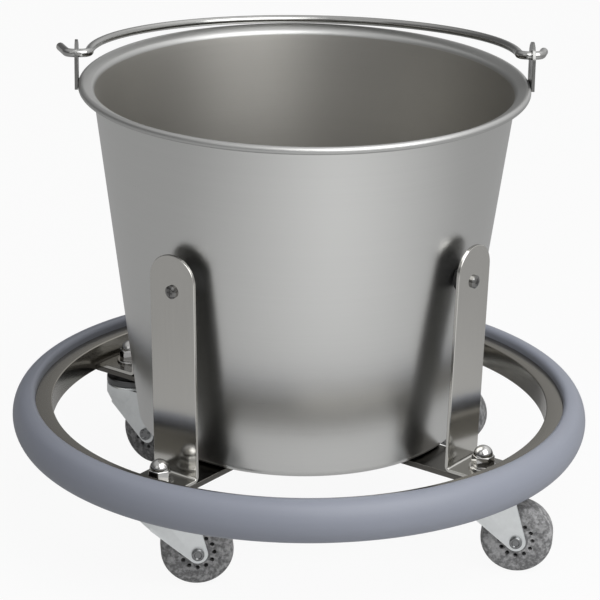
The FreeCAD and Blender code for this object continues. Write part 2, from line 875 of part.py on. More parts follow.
def make_balls(caster):
    balls = []
    for number in range(BALL_COUNT):
        place = polar((ZERO, ZERO), size("ball_circle_radius"), as_size(360 / BALL_COUNT * number))
        balls.append(sphere(f"ball_{caster}_{number}", ball_radius, (place[0], place[1], ball_height)))
    return placed(gather(f"swivel_balls_{caster}", balls), swivel_frame(caster))


def fork_lower_line(along):
    """The height of the fork's slanted lower edge at a distance from the swivel axis."""
    return lower_end[1] + (lower_end[0] - along) * tangent(size("fork_lower_slope"))


def fork_leg_outline():
    """Side view of the legs: level top, upright back, slanted lower edge, round tip, leaning front."""
    tip = size("fork_tip_radius")
    front = size("fork_front_slope")
    front_start = polar((size("caster_trail"), wheel_radius), tip, front)
    front_top = front_start[0] - (crown_roof - front_start[1]) * tangent(front)
    back = -size("fork_back")
    return [
        ((back, crown_roof), None),
        ((back, fork_lower_line(back)), None),
        (lower_end, (tip, LEFT)),
        (front_start, None),
        ((front_top, crown_roof), None),
    ]


def fork_crown_section():
    """Round crown: flat top with a rounded edge, and a skirt that draws in to the legs' width."""
    gauge = size("fork_sheet")
    outer = size("crown_radius")
    skirt_end = crown_top - size("crown_skirt")
    cone_end = skirt_end - size("crown_cone")
    return [
        ((ZERO, crown_roof), None),
        ((outer - gauge, crown_roof), None),
        ((outer - gauge, skirt_end), None),
        ((fork_gap / 2, cone_end), None),
        ((fork_side, cone_end), None),
        ((outer, skirt_end), None),
        ((outer, crown_top - gauge), (gauge, LEFT)),
        ((outer - gauge, crown_top), None),
        ((ZERO, crown_top), None),
    ]


def make_fork(caster):
    """Stamped fork: two slanted legs under a round crown, which has the lower raceway in its top."""
    name = f"fork_{caster}"
    outer = size("crown_radius")
    skirt_end = crown_top - size("crown_skirt")
    body = doc.addObject("PartDesign::Body", name)
    legs = new_sketch(body, f"{name}_legs", "XZ_Plane")
    draw(legs, fork_leg_outline())
    extrude(body, legs, fork_side * 2)
    channel = new_sketch(body, f"{name}_channel", "YZ_Plane")
    draw(channel, lines(
        (-fork_gap / 2, ZERO),
        (fork_gap / 2, ZERO),
        (fork_gap / 2, crown_top),
        (-fork_gap / 2, crown_top),
    ))
    cut_through(body, channel, size("caster_trail") * 4)
    crown = new_sketch(body, f"{name}_crown", "XZ_Plane")
    draw(crown, fork_crown_section())
    revolve(body, crown)
    slant = new_sketch(body, f"{name}_slant", "XZ_Plane")
    draw(slant, lines(
        (-outer * 2, fork_lower_line(-outer * 2)),
        (-outer * 2, ZERO),
        (lower_end[0], ZERO),
        lower_end,
    ))
    cut_through(body, slant, outer * 3)
    mouth = new_sketch(body, f"{name}_mouth", "YZ_Plane")
    draw(mouth, lines(
        (-fork_gap / 2, ZERO),
        (fork_gap / 2, ZERO),
        (fork_gap / 2, skirt_end),
        (-fork_gap / 2, skirt_end),
    ))
    opened = extrude(body, mouth, outer * 2, kind="PartDesign::Pocket", sides="One side")
    opened.Reversed = True
    race = new_sketch(body, f"{name}_race", "XZ_Plane")
    draw_circle(race, (size("ball_circle_radius"), ball_height), ball_radius)
    revolve(body, race, kind="PartDesign::Groove")
    pin_bore = new_sketch(body, f"{name}_pin_bore", "XY_Plane")
    draw_circle(pin_bore, (ZERO, ZERO), kingpin_radius + size("running_clearance"))
    cut_through(body, pin_bore, crown_top * 3)
    axle_bore = new_sketch(body, f"{name}_axle_bore", "XZ_Plane")
    draw_circle(axle_bore, (size("caster_trail"), wheel_radius), axle_radius)
    cut_through(body, axle_bore, fork_side * 3)
    return placed(body, swivel_frame(caster))


def make_axle_bolt(caster):
    """Round head outside one leg, shank through both legs and out of the nut."""
    head = size("axle_head_radius")
    edge = size("axle_head_round")
    head_end = fork_side + size("axle_head_height")
    shank_end = -(fork_side + size("axle_nut_height") + size("axle_thread_proud"))
    bolt = turned_body(f"axle_bolt_{caster}", [
        ((ZERO, shank_end), None),
        ((axle_radius, shank_end), None),
        ((axle_radius, fork_side), None),
        ((head, fork_side), None),
        ((head, head_end - edge), (edge, LEFT)),
        ((head - edge, head_end), None),
        ((ZERO, head_end), None),
    ])
    return placed(bolt, axle_frame(caster))


def make_axle_nut(caster):
    name = f"axle_nut_{caster}"
    end = -(fork_side + size("axle_nut_height"))
    blank = hexagon(f"{name}_hex", size("axle_nut_across"), size("axle_nut_height"), end)
    bore = cylinder(f"{name}_bore", axle_radius, size("axle_nut_height"), end)
    return placed(combine("Part::Cut", name, blank, bore), axle_frame(caster))


def make_sleeve(caster):
    """Spanner sleeve on the axle, clamped between the legs, which the wheel turns on."""
    outside = size("sleeve_diameter") / 2
    half = fork_gap / 2
    sleeve = turned_body(f"axle_sleeve_{caster}", lines(
        (axle_radius, -half),
        (outside, -half),
        (outside, half),
        (axle_radius, half),
    ))
    return placed(sleeve, axle_frame(caster))


# ---------------------------------------------------------------- caster wheels


def make_core(caster):
    """Plastic wheel core, a little proud of the tyre on both sides."""
    bore = size("sleeve_diameter") / 2 + size("running_clearance")
    outside = size("core_radius")
    half = size("wheel_width") / 2 + size("core_proud")
    core = turned_body(f"wheel_core_{caster}", lines((bore, -half), (outside, -half), (outside, half), (bore, half)))
    return placed(core, axle_frame(caster))


def make_tyre(caster):
    """Rubber wheel body with rounded tread edges and a ring of small holes right through its web."""
    name = f"tyre_{caster}"
    inside = size("core_radius")
    half = size("wheel_width") / 2
    edge = size("tread_round")
    body = turned_body(name, [
        ((inside, -half), None),
        ((wheel_radius - edge, -half), (edge, LEFT)),
        ((wheel_radius, edge - half), None),
        ((wheel_radius, half - edge), (edge, LEFT)),
        ((wheel_radius - edge, half), None),
        ((inside, half), None),
    ])
    hole_sketch = new_sketch(body, f"{name}_hole", "XY_Plane")
    draw_circle(hole_sketch, (size("wheel_hole_circle_radius"), ZERO), size("wheel_hole_diameter") / 2)
    hole = cut_through(body, hole_sketch, size("wheel_width") * 2)
    doc.recompute()
    ring = body.newObject("PartDesign::PolarPattern", f"{name}_holes")
    ring.Originals = [hole]
    ring.Axis = (hole_sketch, ["N_Axis"])
    ring.Angle = 360
    ring.Occurrences = WHEEL_HOLE_COUNT
    body.Tip = ring
    return placed(body, axle_frame(caster))


# ---------------------------------------------------------------- assembly


def make_parts():
    parts = [make_pail_shell(), make_ear("ear_right", 1), make_ear("ear_left", -1), make_bail()]
    parts += [make_carrier_ring(), make_bumper()]
    parts += make_cross_bars()
    for maker in (make_upright, make_pad, make_race_cap, make_stem):
        parts += [maker(caster) for caster in CASTERS]
    for name, maker in (
        ("pad_inserts", make_insert),
        ("pad_screws", make_pad_screw),
        ("stem_washers", make_stem_washer),
        ("acorn_nuts", make_acorn_nut),
    ):
        parts.append(gather(name, [maker(caster) for caster in CASTERS]))
    for maker in (make_balls, make_fork, make_axle_bolt, make_axle_nut, make_sleeve, make_core, make_tyre):
        parts += [maker(caster) for caster in CASTERS]
    return parts


def check(parts):
    for feature in doc.Objects:
        if "Invalid" in feature.State or "Error" in feature.State:
            raise RuntimeError(f"{feature.Name} did not compute: {feature.State}")
    for part in parts:
        if part.Shape.isNull() or not part.Shape.isValid():
            raise RuntimeError(f"{part.Label} has no valid shape")


def write(parts):
    os.makedirs("parts", exist_ok=True)
    for part in parts:
        part.Shape.exportStep(f"parts/{part.Label}.step")
        print(part.Label, len(part.Shape.Solids), round(part.Shape.Volume, 1))


def main():
    fill_sheet()
    parts = make_parts()
    doc.recompute()
    check(parts)
    write(parts)


main()
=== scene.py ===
import json
import math

import bmesh
import bpy
from bpy.props import FloatProperty, FloatVectorProperty, IntProperty, PointerProperty
from mathutils import Matrix, Vector


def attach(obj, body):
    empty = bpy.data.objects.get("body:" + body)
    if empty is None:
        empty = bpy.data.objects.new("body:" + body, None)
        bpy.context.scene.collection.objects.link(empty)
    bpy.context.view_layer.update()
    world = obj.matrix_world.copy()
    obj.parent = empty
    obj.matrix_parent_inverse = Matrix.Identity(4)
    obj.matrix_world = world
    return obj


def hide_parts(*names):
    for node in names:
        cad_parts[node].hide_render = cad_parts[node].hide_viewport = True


bl_info = {
    "name": "Kick Bucket",
    "version": (1, 0, 0),
    "blender": (4, 5, 0),
    "location": "View3D > Sidebar > Kick Bucket",
    "description": "A steel pail in a bumpered ring carrier on swivel casters, and a plain studio",
    "category": "Add Mesh",
}

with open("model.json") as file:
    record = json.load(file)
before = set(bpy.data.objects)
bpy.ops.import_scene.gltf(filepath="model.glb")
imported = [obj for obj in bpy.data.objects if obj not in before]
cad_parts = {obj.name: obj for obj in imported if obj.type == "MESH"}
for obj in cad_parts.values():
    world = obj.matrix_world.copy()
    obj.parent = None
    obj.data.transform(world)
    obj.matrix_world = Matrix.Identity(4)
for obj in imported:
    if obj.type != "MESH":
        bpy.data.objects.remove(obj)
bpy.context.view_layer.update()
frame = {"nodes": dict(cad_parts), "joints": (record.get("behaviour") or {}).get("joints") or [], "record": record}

# The carrier's corners, with the directions of their arms in degrees from the X axis
CORNERS = {"front_left": -135.0, "front_right": -45.0, "rear_right": 45.0, "rear_left": 135.0}
HOLE_COUNT = 12  # small holes in a wheel

ORIGIN = Vector()
UP = Vector((0.0, 0.0, 1.0))
OUTLINE_AXIS = Vector((0.0, -1.0, 0.0))  # outlines lie in x and z, and their arcs turn about this
WELD = 1e-6  # points closer than this become one
FLAT = math.radians(0.4)  # a copied solid's facets that differ by less become one
SHARP = math.radians(32.0)  # edges that turn by more stay sharp, and a bevel softens them

# What the camera and the gloss on metal see of the floor and the room. Levels and shares run from 0 to 1.
FLOOR_GREY = 0.56  # the floor's own colour, which holds the shadows
FLOOR_SEEN = 0.93  # share of white in the floor as seen
FLOOR_GLOSS = 0.7  # share of the pool of light in the floor as mirrored
POOL_PLACE = (0.15, -0.6)
POOL_LEVEL = 0.97  # in the pool's middle
POOL_FALL = 0.75  # lost in each metre from there
POOL_EDGE = 0.38  # the least that is left
ROOM_GLOSS = 0.1  # share of white in the room as mirrored
OVERHEAD = 0.52  # added to the sides' level overhead
OVERHEAD_STEP = (0.6, 0.3)  # where overhead starts, and half the width of the change
SIDE_LEFT = 0.06
SIDE_RIGHT = 0.62
SIDE_STEP = (0.02, 0.3)
SIDE_SLANT = 0.1  # how far the dark left side reaches round to the back
LAMP_AIM = Vector((0.0, 0.0, 0.17))
SENSOR = 36.0  # width of the camera's sensor in millimetres
SIGHT = 100.0  # how far the camera sees


def length(name, words, default):
    """A size in metres that a user can change."""
    return FloatProperty(
        name=name, description=words, default=default, unit="LENGTH", subtype="DISTANCE", precision=4
    )


def turn(name, words, degrees):
    """An angle that a user can change."""
    return FloatProperty(name=name, description=words, default=math.radians(degrees), subtype="ANGLE")


def tint(name, words, colour):
    """A surface colour that a user can change."""
    return FloatVectorProperty(
        name=name, description=words, default=colour, size=3, subtype="COLOR", min=0.0, max=1.0
    )


def share(name, words, default):
    """A share from nothing to all."""
    return FloatProperty(name=name, description=words, default=default, min=0.0, max=1.0, subtype="FACTOR")


def spot(name, words, default):
    """A place in metres."""
    return FloatVectorProperty(name=name, description=words, default=default, unit="LENGTH", subtype="XYZ")


def watts(name, words, default):
    """The power of a lamp."""
    return FloatProperty(name=name, description=words, default=default, min=0.0, subtype="POWER")


class PailSettings(bpy.types.PropertyGroup):
    rim_radius: length("Rim radius", "Outer radius of the curled edge", 0.159)
    base_height: length("Base height", "Height of the base's underside above the floor", 0.0727)
    height: length("Height", "From the base's underside to the top of the curled edge", 0.2538)
    sheet: length("Sheet", "Thickness of the pail's sheet", 0.001)
    taper: turn("Taper", "Lean of the wall from upright", 7.4)
    flare_radius: length("Flare radius", "Radius of the lip's outward bend", 0.014)
    lip_bend: length("Lip bend", "Radius of the bend between the wall and the flat of the lip", 0.0045)
    lip_slope: turn("Lip slope", "Slope of the lip where the curl takes over", 25.0)
    curl_radius: length("Curl radius", "Radius of the curled edge", 0.0022)
    curl_sweep: turn("Curl sweep", "How far round the edge is curled", 175.0)
    corner_radius: length("Base corner radius", "Radius between the base and the wall", 0.006)
    panel_radius: length("Panel radius", "Radius of the base's raised panel", 0.085)
    panel_rise: length("Panel rise", "How far the panel is raised", 0.0015)
    steel: tint("Steel", "Colour of the brushed steel", (0.685, 0.687, 0.675))
    roughness: share("Roughness", "Roughness of the brushed steel", 0.29)
    # painted shade: the inside is a darker copy of the pail's steel, for the shade that falls inside the pail; its
    # greater roughness is the steel's own
    inside_shaded_steel: tint("Inside steel", "Colour of the steel inside the pail", (0.45, 0.44, 0.415))
    inside_roughness: share("Inside roughness", "Roughness of the steel inside the pail", 0.44)


class BailSettings(bpy.types.PropertyGroup):
    pivot_height: length("Pivot height", "Height of the eyes above the floor", 0.3457)
    wire_radius: length("Wire radius", "Radius of the bail's wire", 0.003)
    reach: length("Reach", "From the pivot to the middle of the grip", 0.1571)
    half_width: length("Half width", "Half of the widest span of the arch", 0.1511)
    side_radius: length("Side radius", "Radius of the arch beside the ears", 0.096)
    side_height: length("Side height", "Height of the side arcs' centres above the pivot", 0.010)
    inner_radius: length("Inner bend radius", "Radius of the bend into the eye", 0.0065)
    pin: length("Pin", "Straight run through the eye", 0.0038)
    outer_radius: length("Outer bend radius", "Radius of the bend outside the ear", 0.006)
    outer_sweep: turn("Outer sweep", "How far the wire is bent outside the ear", 77.0)
    left_tail: length("Left tail", "Straight end outside the left ear", 0.0235)
    right_tail: length("Right tail", "Straight end outside the right ear", 0.0128)
    rest_tilt: turn("Rest tilt", "How far the bail lies below level", 5.8088)
    steel: tint("Wire steel", "Colour of the drawn wire", (0.42, 0.42, 0.41))


class CarrierSettings(bpy.types.PropertyGroup):
    ring_radius: length("Ring radius", "Inner radius of the ring", 0.180308)
    ring_base: length("Ring base", "Height of the ring's underside", 0.0685)
    ring_height: length("Ring height", "Height of the channel", 0.0188)
    flange: length("Flange", "Width of the channel's flanges", 0.0122)
    sheet: length("Sheet", "Thickness of the channel", 0.002)
    bumper_height: length("Bumper height", "Height of the rubber bumper", 0.0314)
    bumper_depth: length("Bumper depth", "How far the bumper stands out", 0.01649)
    carrier_turn: turn("Carrier turn", "How far the carrier is turned under the pail", 6.1)
    bar_angle: turn("Bar angle", "Direction of the full cross bar", 51.1)
    strip_sheet: length("Strip thickness", "Thickness of the uprights", 0.0025)
    strip_lean: turn("Strip lean", "Outward lean of the uprights", 1.7)
    pad_seat: length("Pad seat", "Radius of the uprights' inner face at the screws", 0.1452026)
    screw_height: length("Screw height", "Height of the pad screws", 0.2105)
    foot_top: length("Foot top", "Height of the uprights' feet", 0.075)
    stem_circle: length("Stem circle", "Radius of the circle of caster stems", 0.161008)
    steel: tint("Steel", "Colour of the uprights' steel", (0.63, 0.62, 0.59))
    ring_steel: tint("Ring steel", "Colour of the ring's steel", (0.33, 0.315, 0.282))
    # painted shade: the cross bars' steel is darkened for the shade under the pail
    bar_steel: tint("Bar steel", "Colour of the cross bars' steel", (0.14, 0.134, 0.124))
    rubber: tint("Bumper rubber", "Colour of the bumper", (0.247, 0.263, 0.312))
    pad_rubber: tint("Pad rubber", "Colour of the pads", (0.028, 0.028, 0.028))


class FastenerSettings(bpy.types.PropertyGroup):
    pad_base: length("Pad base", "Radius of a pad's base", 0.014)
    pad_rim: length("Pad rim", "Height of a pad's upright rim", 0.003)
    pad_tip: length("Pad tip", "Radius of a pad's tip", 0.009)
    pad_length: length("Pad length", "From the upright to a pad's tip", 0.00962)
    screw_head: length("Screw head", "Radius of a pad screw's head", 0.0047)
    screw_side: length("Head side", "Height of the upright side of a pad screw's head", 0.0014)
    screw_dome: length("Head dome", "Height of the dome of a pad screw's head", 0.0018)
    screw_shank: length("Screw shank", "Radius of a pad screw's shank", 0.0025)
    screw_length: length("Screw length", "Length of a pad screw's shank", 0.009)
    washer_radius: length("Washer radius", "Outer radius of a stem's washer", 0.010)
    washer_sheet: length("Washer thickness", "Thickness of a stem's washer", 0.0015)
    washer_hole: length("Washer hole", "Radius of the hole in a stem's washer", 0.00515)
    nut_across: length("Nut width", "Width of an acorn nut across its flats", 0.0143)
    nut_height: length("Nut height", "Height of an acorn nut's hexagon", 0.008)
    nut_dome: length("Nut dome", "Radius of an acorn nut's dome", 0.0069)
    chrome: tint("Chrome", "Colour of the bright nuts and screws", (0.58, 0.575, 0.565))


class CasterSettings(bpy.types.PropertyGroup):
    fork_side: length("Fork side", "From the wheel's middle to the outside of a leg", 0.0146)
    axle_radius: length("Axle radius", "Radius of the axle bolt's shank", 0.003175)
    axle_head: length("Axle head", "Radius of the axle bolt's head", 0.0045)
    axle_head_height: length("Head height", "Height of the axle bolt's head", 0.0026)
    axle_nut_across: length("Axle nut", "Width of the axle nut across its flats", 0.0111)
    axle_nut_height: length("Axle nut height", "Height of the axle nut", 0.005)
    axle_end: length("Axle end", "How far the thread stands out of its nut", 0.0012)
    wheel_radius: length("Wheel radius", "Radius of the wheels", 0.0254)
    wheel_half: length("Half wheel width", "Half of the tyre's width", 0.011)
    tread_round: length("Tread round", "Radius of the tread's rounded edges", 0.005)
    core_radius: length("Core radius", "Outer radius of the wheel's core", 0.0085)
    core_half: length("Half core width", "Half of the core's width", 0.012)
    core_bore: length("Core bore", "Radius of the bore in the core", 0.0048)
    hole_circle: length("Hole circle", "Radius of the circle of small holes", 0.0116)
    hole_radius: length("Hole radius", "Radius of the small holes", 0.0016)
    zinc: tint("Zinc", "Colour of the plated forks", (0.87, 0.895, 0.90))
    axle_steel: tint("Axle steel", "Colour of the axle bolts", (0.27, 0.275, 0.28))
    light_rubber: tint("Light rubber", "Lighter colour in the wheels' marbled rubber", (0.42, 0.42, 0.425))
    dark_rubber: tint("Dark rubber", "Darker colour in the wheels' marbled rubber", (0.09, 0.09, 0.092))
    core: tint("Core", "Colour of the wheels' plastic cores", (0.16, 0.16, 0.165))


class StageSettings(bpy.types.PropertyGroup):
    camera_place: spot("Camera", "Where the camera stands", (-0.08406, -1.93711, 0.8827))
    heading: turn("Heading", "Camera's turn from the Y axis", -2.4633)
    dip: turn("Dip", "How far the camera looks down", 20.3886)
    roll: turn("Roll", "Camera's turn about its own line of sight", 0.98)
    lens: FloatProperty(
        name="Lens", description="Focal length in millimetres", default=171.746, unit="CAMERA"
    )
    floor_size: length("Floor size", "Side of the square floor", 40.0)
    key_place: spot("Key lamp", "Where the key lamp hangs", (0.6, -0.95, 1.2))
    key_side: length("Key side", "Side of the square key lamp", 1.5)
    key_power: watts("Key power", "Power of the key lamp", 16.5)
    fill_place: spot("Fill lamp", "Where the fill lamp hangs", (-1.4, -1.9, 1.5))
    fill_side: length("Fill side", "Side of the square fill lamp", 1.4)
    fill_power: watts("Fill power", "Power of the fill lamp", 3.0)


class KickBucketSettings(bpy.types.PropertyGroup):
    pail: PointerProperty(type=PailSettings)
    bail: PointerProperty(type=BailSettings)
    carrier: PointerProperty(type=CarrierSettings)
    fastener: PointerProperty(type=FastenerSettings)
    caster: PointerProperty(type=CasterSettings)
    stage: PointerProperty(type=StageSettings)
    round_steps: IntProperty(
        name="Steps", description="Steps in a full round of the large pieces", default=192, min=24
    )


# -------------------------------- finishes


class Term:
    """An output socket that takes part in Python expressions. Each operator adds a Math node."""

    def __init__(self, finish, socket):
        self.finish = finish
        self.socket = socket

    def math(self, operation, first, second):
        return self.finish.node("ShaderNodeMath", {"operation": operation}, {0: first, 1: second})

    def __add__(self, other):
        return self.math("ADD", self, other)

    def __radd__(self, other):
        return self.math("ADD", other, self)

    def __sub__(self, other):
        return self.math("SUBTRACT", self, other)

    def __rsub__(self, other):
        return self.math("SUBTRACT", other, self)

    def __mul__(self, other):
        return self.math("MULTIPLY", self, other)

    def __rmul__(self, other):
        return self.math("MULTIPLY", other, self)

    def __pow__(self, other):
        return self.math("POWER", self, other)

    def at_least(self, level):
        return self.math("MAXIMUM", self, level)

    def above(self, level, width):
        """A mask: 0 under the level, 1 over it, blended over the width on either side."""
        settings = {"interpolation_type": "SMOOTHSTEP"}
        sockets = {"Value": self, "From Min": level - width, "From Max": level + width}
        return self.finish.node("ShaderNodeMapRange", settings, sockets)


class Finish:
    """A material, or a world, built from nodes."""

    def __init__(self, name, shelf=None):
        self.owner = (bpy.data.materials if shelf is None else shelf).new(name)
        self.owner.use_nodes = True
        self.tree = self.owner.node_tree
        self.tree.nodes.clear()

    def node(self, kind, settings, sockets, output=0):
        """A node, its settings made before its sockets' values or links. Gives one of its outputs."""
        made = self.tree.nodes.new(kind)
        for key, value in settings.items():
            setattr(made, key, value)
        for key, value in sockets.items():
            if isinstance(value, Term):
                self.tree.links.new(value.socket, made.inputs[key])
            else:
                made.inputs[key].default_value = value
        return Term(self, made.outputs[output])

    def place(self, output="Object"):
        """The surface point in metres, or in the world the way that a ray goes, as Generated."""
        return self.node("ShaderNodeTexCoord", {}, {}, output=output)

    def split(self, vector):
        """The x, y and z of a vector."""
        return [self.node("ShaderNodeSeparateXYZ", {}, {0: vector}, output=axis) for axis in range(3)]

    def point(self, x, y, z):
        return self.node("ShaderNodeCombineXYZ", {}, {0: x, 1: y, 2: z})

    def noise(self, where, scale, detail=2.0):
        sockets = {"Vector": where, "Scale": scale, "Detail": detail, "Roughness": 0.55}
        return self.node("ShaderNodeTexNoise", {}, sockets)

    def blend(self, amount, low, high):
        sockets = {0: amount, 6: (*low, 1.0), 7: (*high, 1.0)}
        return self.node("ShaderNodeMix", {"data_type": "RGBA"}, sockets, output=2)

    def shades(self, amount, colour, dark, light):
        """A colour that goes from a darker to a lighter shade of itself."""
        return self.blend(amount, scaled(colour, dark), scaled(colour, light))

    def bump(self, height, strength, depth):
        sockets = {"Height": height, "Strength": strength, "Distance": depth}
        return self.node("ShaderNodeBump", {}, sockets)

    def surface(self, **sockets):
        """The shader. Keys are its sockets' names with _ for a space."""
        named = {key.replace("_", " "): value for key, value in sockets.items()}
        return self.finished(self.node("ShaderNodeBsdfPrincipled", {}, named), "ShaderNodeOutputMaterial")

    def finished(self, shader, kind):
        """Link the last shader to the output. Gives what the tree belongs to."""
        output = self.tree.nodes.new(kind)
        self.tree.links.new(shader.socket, output.inputs["Surface"])
        return self.owner


def scaled(colour, factor):
    return tuple(min(1.0, channel * factor) for channel in colour)


def round_brushed(name, colour, roughness):
    """Steel brushed in rounds about the Z axis: hairlines, coarser bands of them and faint clouds."""
    finish = Finish(name)
    x, y, z = finish.split(finish.place())
    line = z + (x * x + y * y) ** 0.5
    hairs, bands, clouds = 1900.0, 130.0, 9.0  # steps in a metre
    hair = finish.noise(finish.point(x * 5.0, y * 5.0, line * hairs), 1.0)
    band = finish.noise(finish.point(x * 2.0, y * 2.0, line * bands), 1.0)
    cloud = finish.noise(finish.place(), clouds, detail=3.0)
    base = finish.shades(hair * 0.6 + band * 0.25 + cloud * 0.15, colour, 0.96, 1.04)
    rough = hair * 0.05 + cloud * 0.03 + (roughness - 0.04)
    normal = finish.bump(hair, 0.4, 0.0001)
    return finish.surface(Base_Color=base, Metallic=1.0, Roughness=rough, Normal=normal)


def length_brushed(name, colour, roughness, angle=None):
    """Flat steel brushed along its length: at an angle about Z, or upright where none is given."""
    finish = Finish(name)
    x, y, z = finish.split(finish.place())
    along_hairs, hairs, clouds = 8.0, 900.0, 30.0  # steps in a metre
    if angle is None:
        where = finish.point(x * hairs, y * hairs, z * along_hairs)
    else:
        along = x * math.cos(angle) + y * math.sin(angle)
        across = y * math.cos(angle) - x * math.sin(angle)
        where = finish.point(along * along_hairs, across * hairs, z * hairs)
    hair = finish.noise(where, 1.0, detail=3.0)
    cloud = finish.noise(finish.place(), clouds, detail=3.0)
    base = finish.shades(hair * 0.7 + cloud * 0.3, colour, 0.94, 1.06)
    rough = hair * 0.04 + cloud * 0.04 + (roughness - 0.04)
    normal = finish.bump(hair, 0.04, 0.0001)
    return finish.surface(Base_Color=base, Metallic=1.0, Roughness=rough, Normal=normal)


def bright_steel(name, colour, roughness):
    """Smooth bright metal with faint handling marks."""
    finish = Finish(name)
    cloud = finish.noise(finish.place(), 160.0, detail=4.0)
    base = finish.shades(cloud, colour, 0.9, 1.08)
    rough = cloud * 0.14 + (roughness - 0.07)
    normal = finish.bump(cloud, 0.05, 0.0002)
    return finish.surface(Base_Color=base, Metallic=1.0, Roughness=rough, Normal=normal)


def bumper_rubber(name, colour):
    """Smooth extruded rubber: fine grain, faint lines along the strip and a little bloom."""
    finish = Finish(name)
    x, y, z = finish.split(finish.place())
    line = z + (x * x + y * y) ** 0.5
    grain = finish.noise(finish.place(), 1400.0)
    drawn = finish.noise(finish.point(x * 3.0, y * 3.0, line * 500.0), 1.0)
    bloom = finish.noise(finish.place(), 14.0, detail=4.0)
    base = finish.shades(bloom * 0.7 + drawn * 0.3, colour, 0.93, 1.07)
    rough = grain * 0.08 + bloom * 0.10 + 0.36
    normal = finish.bump(grain * 0.5 + drawn * 0.5, 0.10, 0.0002)
    return finish.surface(Base_Color=base, Roughness=rough, Normal=normal)


def wheel_rubber(name, light, dark):
    """Marbled grey rubber: light and dark flecks pressed together, with a faint moulded grain."""
    finish = Finish(name)
    where = finish.place()
    swirl = finish.noise(where, 260.0, detail=4.0)
    cells = {"Vector": where, "Scale": 330.0, "Smoothness": 0.6}
    fleck = finish.node("ShaderNodeTexVoronoi", {"feature": "SMOOTH_F1"}, cells)
    speck = finish.noise(where, 620.0)
    marble = swirl.above(0.52, 0.11) * 0.6 + speck.above(0.56, 0.12) * 0.3 + fleck * 0.3
    base = finish.blend(marble, dark, light)
    normal = finish.bump(speck, 0.12, 0.0002)
    return finish.surface(Base_Color=base, Roughness=speck * 0.15 + 0.42, Normal=normal)


def grained(name, colour, grains, detail, shades, roughness, relief):
    """A plain moulding with one fine grain in its shade, its gloss and, in millimetres, its relief."""
    finish = Finish(name)
    grain = finish.noise(finish.place(), grains, detail)
    base = finish.shades(grain, colour, *shades)
    normal = finish.bump(grain, relief, relief * 0.001)
    return finish.surface(Base_Color=base, Roughness=grain * relief + roughness, Normal=normal)


def recipes():
    """Each finish's maker, colour and roughness, or whatever else its maker is given."""
    settings = bpy.context.scene.kick_bucket
    pail, bail, carrier, caster = settings.pail, settings.bail, settings.carrier, settings.caster
    strip, bar, chrome = carrier.steel, carrier.bar_steel, settings.fastener.chrome
    return {
        "pail_steel": (round_brushed, pail.steel, pail.roughness),
        # painted shade: the pail's inside is the same steel at a darker colour
        "pail_inside": (round_brushed, pail.inside_shaded_steel, pail.inside_roughness),
        # painted shade: the lip is the pail's steel dimmed to 0.8, which tones down the lamp's highlight along the
        # curl; its roughness is its own
        "lip_steel": (round_brushed, scaled(pail.steel, 0.8), 0.42),
        "ring_steel": (round_brushed, carrier.ring_steel, 0.2),
        "strip_steel": (length_brushed, strip, 0.15),
        # painted shade: the strips' backs towards the pail and their feet are darker copies of the strips' steel
        "strip_back": (length_brushed, scaled(strip, 0.36), 0.42),
        "strip_foot": (length_brushed, scaled(strip, 0.5), 0.2),
        # painted shade: the bars take a darkened steel, for the shade under the pail
        "bar_steel_full": (length_brushed, bar, 0.18, carrier.bar_angle),
        "bar_steel_half": (length_brushed, bar, 0.18, carrier.bar_angle + math.pi / 2),
        "wire_steel": (bright_steel, scaled(bail.steel, 1.12), 0.18),
        "ear_steel": (bright_steel, scaled(bail.steel, 0.62), 0.2),
        "nut_chrome": (bright_steel, chrome, 0.07),
        "screw_chrome": (bright_steel, scaled(chrome, 0.4), 0.09),
        "axle_steel": (bright_steel, caster.axle_steel, 0.24),
        "cap_steel": (bright_steel, scaled(caster.axle_steel, 0.5), 0.3),
        "fork_zinc": (bright_steel, caster.zinc, 0.36),
        "bumper_rubber": (bumper_rubber, carrier.rubber),
        "wheel_rubber": (wheel_rubber, caster.light_rubber, caster.dark_rubber),
        "pad_rubber": (grained, carrier.pad_rubber, 900.0, 3.0, (0.8, 1.3), 0.5, 0.2),
        "core_plastic": (grained, caster.core, 1200.0, 2.0, (0.93, 1.07), 0.35, 0.1),
    }


FINISHES = {}


def finish_named(name):
    """Each finish is made once and shared by its pieces."""
    if name not in FINISHES:
        maker, *given = recipes()[name]
        FINISHES[name] = maker(name, *given)
    return FINISHES[name]


# -------------------------------- modelling helpers


def points_of(made):
    """The vertices among what a bmesh operator made."""
    return [item for item in made if isinstance(item, bmesh.types.BMVert)]


def spin(mesh, parts, centre, axis, angle, steps, merge=False, duplicate=False):
    """Turn parts about a centre, leaving their trail. Gives the points at its end."""
    made = bmesh.ops.spin(
        mesh, geom=parts, cent=centre, axis=axis, dvec=(0, 0, 0), angle=angle, steps=steps,
        use_merge=merge, use_duplicate=duplicate, use_normal_flip=False,
    )
    return points_of(made["geom_last"])


class Pen:
    """Draws a run of edges in one plane: straight lines, and arcs about a centre."""

    def __init__(self, mesh, start, axis):
        self.mesh = mesh
        self.axis = axis
        self.start = self.tip = mesh.verts.new(start)

    def line(self, *points):
        for point in points:
            self.tip = bmesh.ops.extrude_vert_indiv(self.mesh, verts=[self.tip])["verts"][0]
            self.tip.co = point

    def arc(self, centre, degrees, steps):
        self.tip = spin(self.mesh, [self.tip], centre, self.axis, math.radians(degrees), steps)[0]

    def close(self):
        self.mesh.edges.new((self.tip, self.start))


def outline(radius, height):
    """A new mesh, and a pen on it that draws in radius and height, its arcs anticlockwise."""
    mesh = bmesh.new()
    return mesh, Pen(mesh, at(radius, height), OUTLINE_AXIS)


def at(radius, height):
    return Vector((radius, 0.0, height))


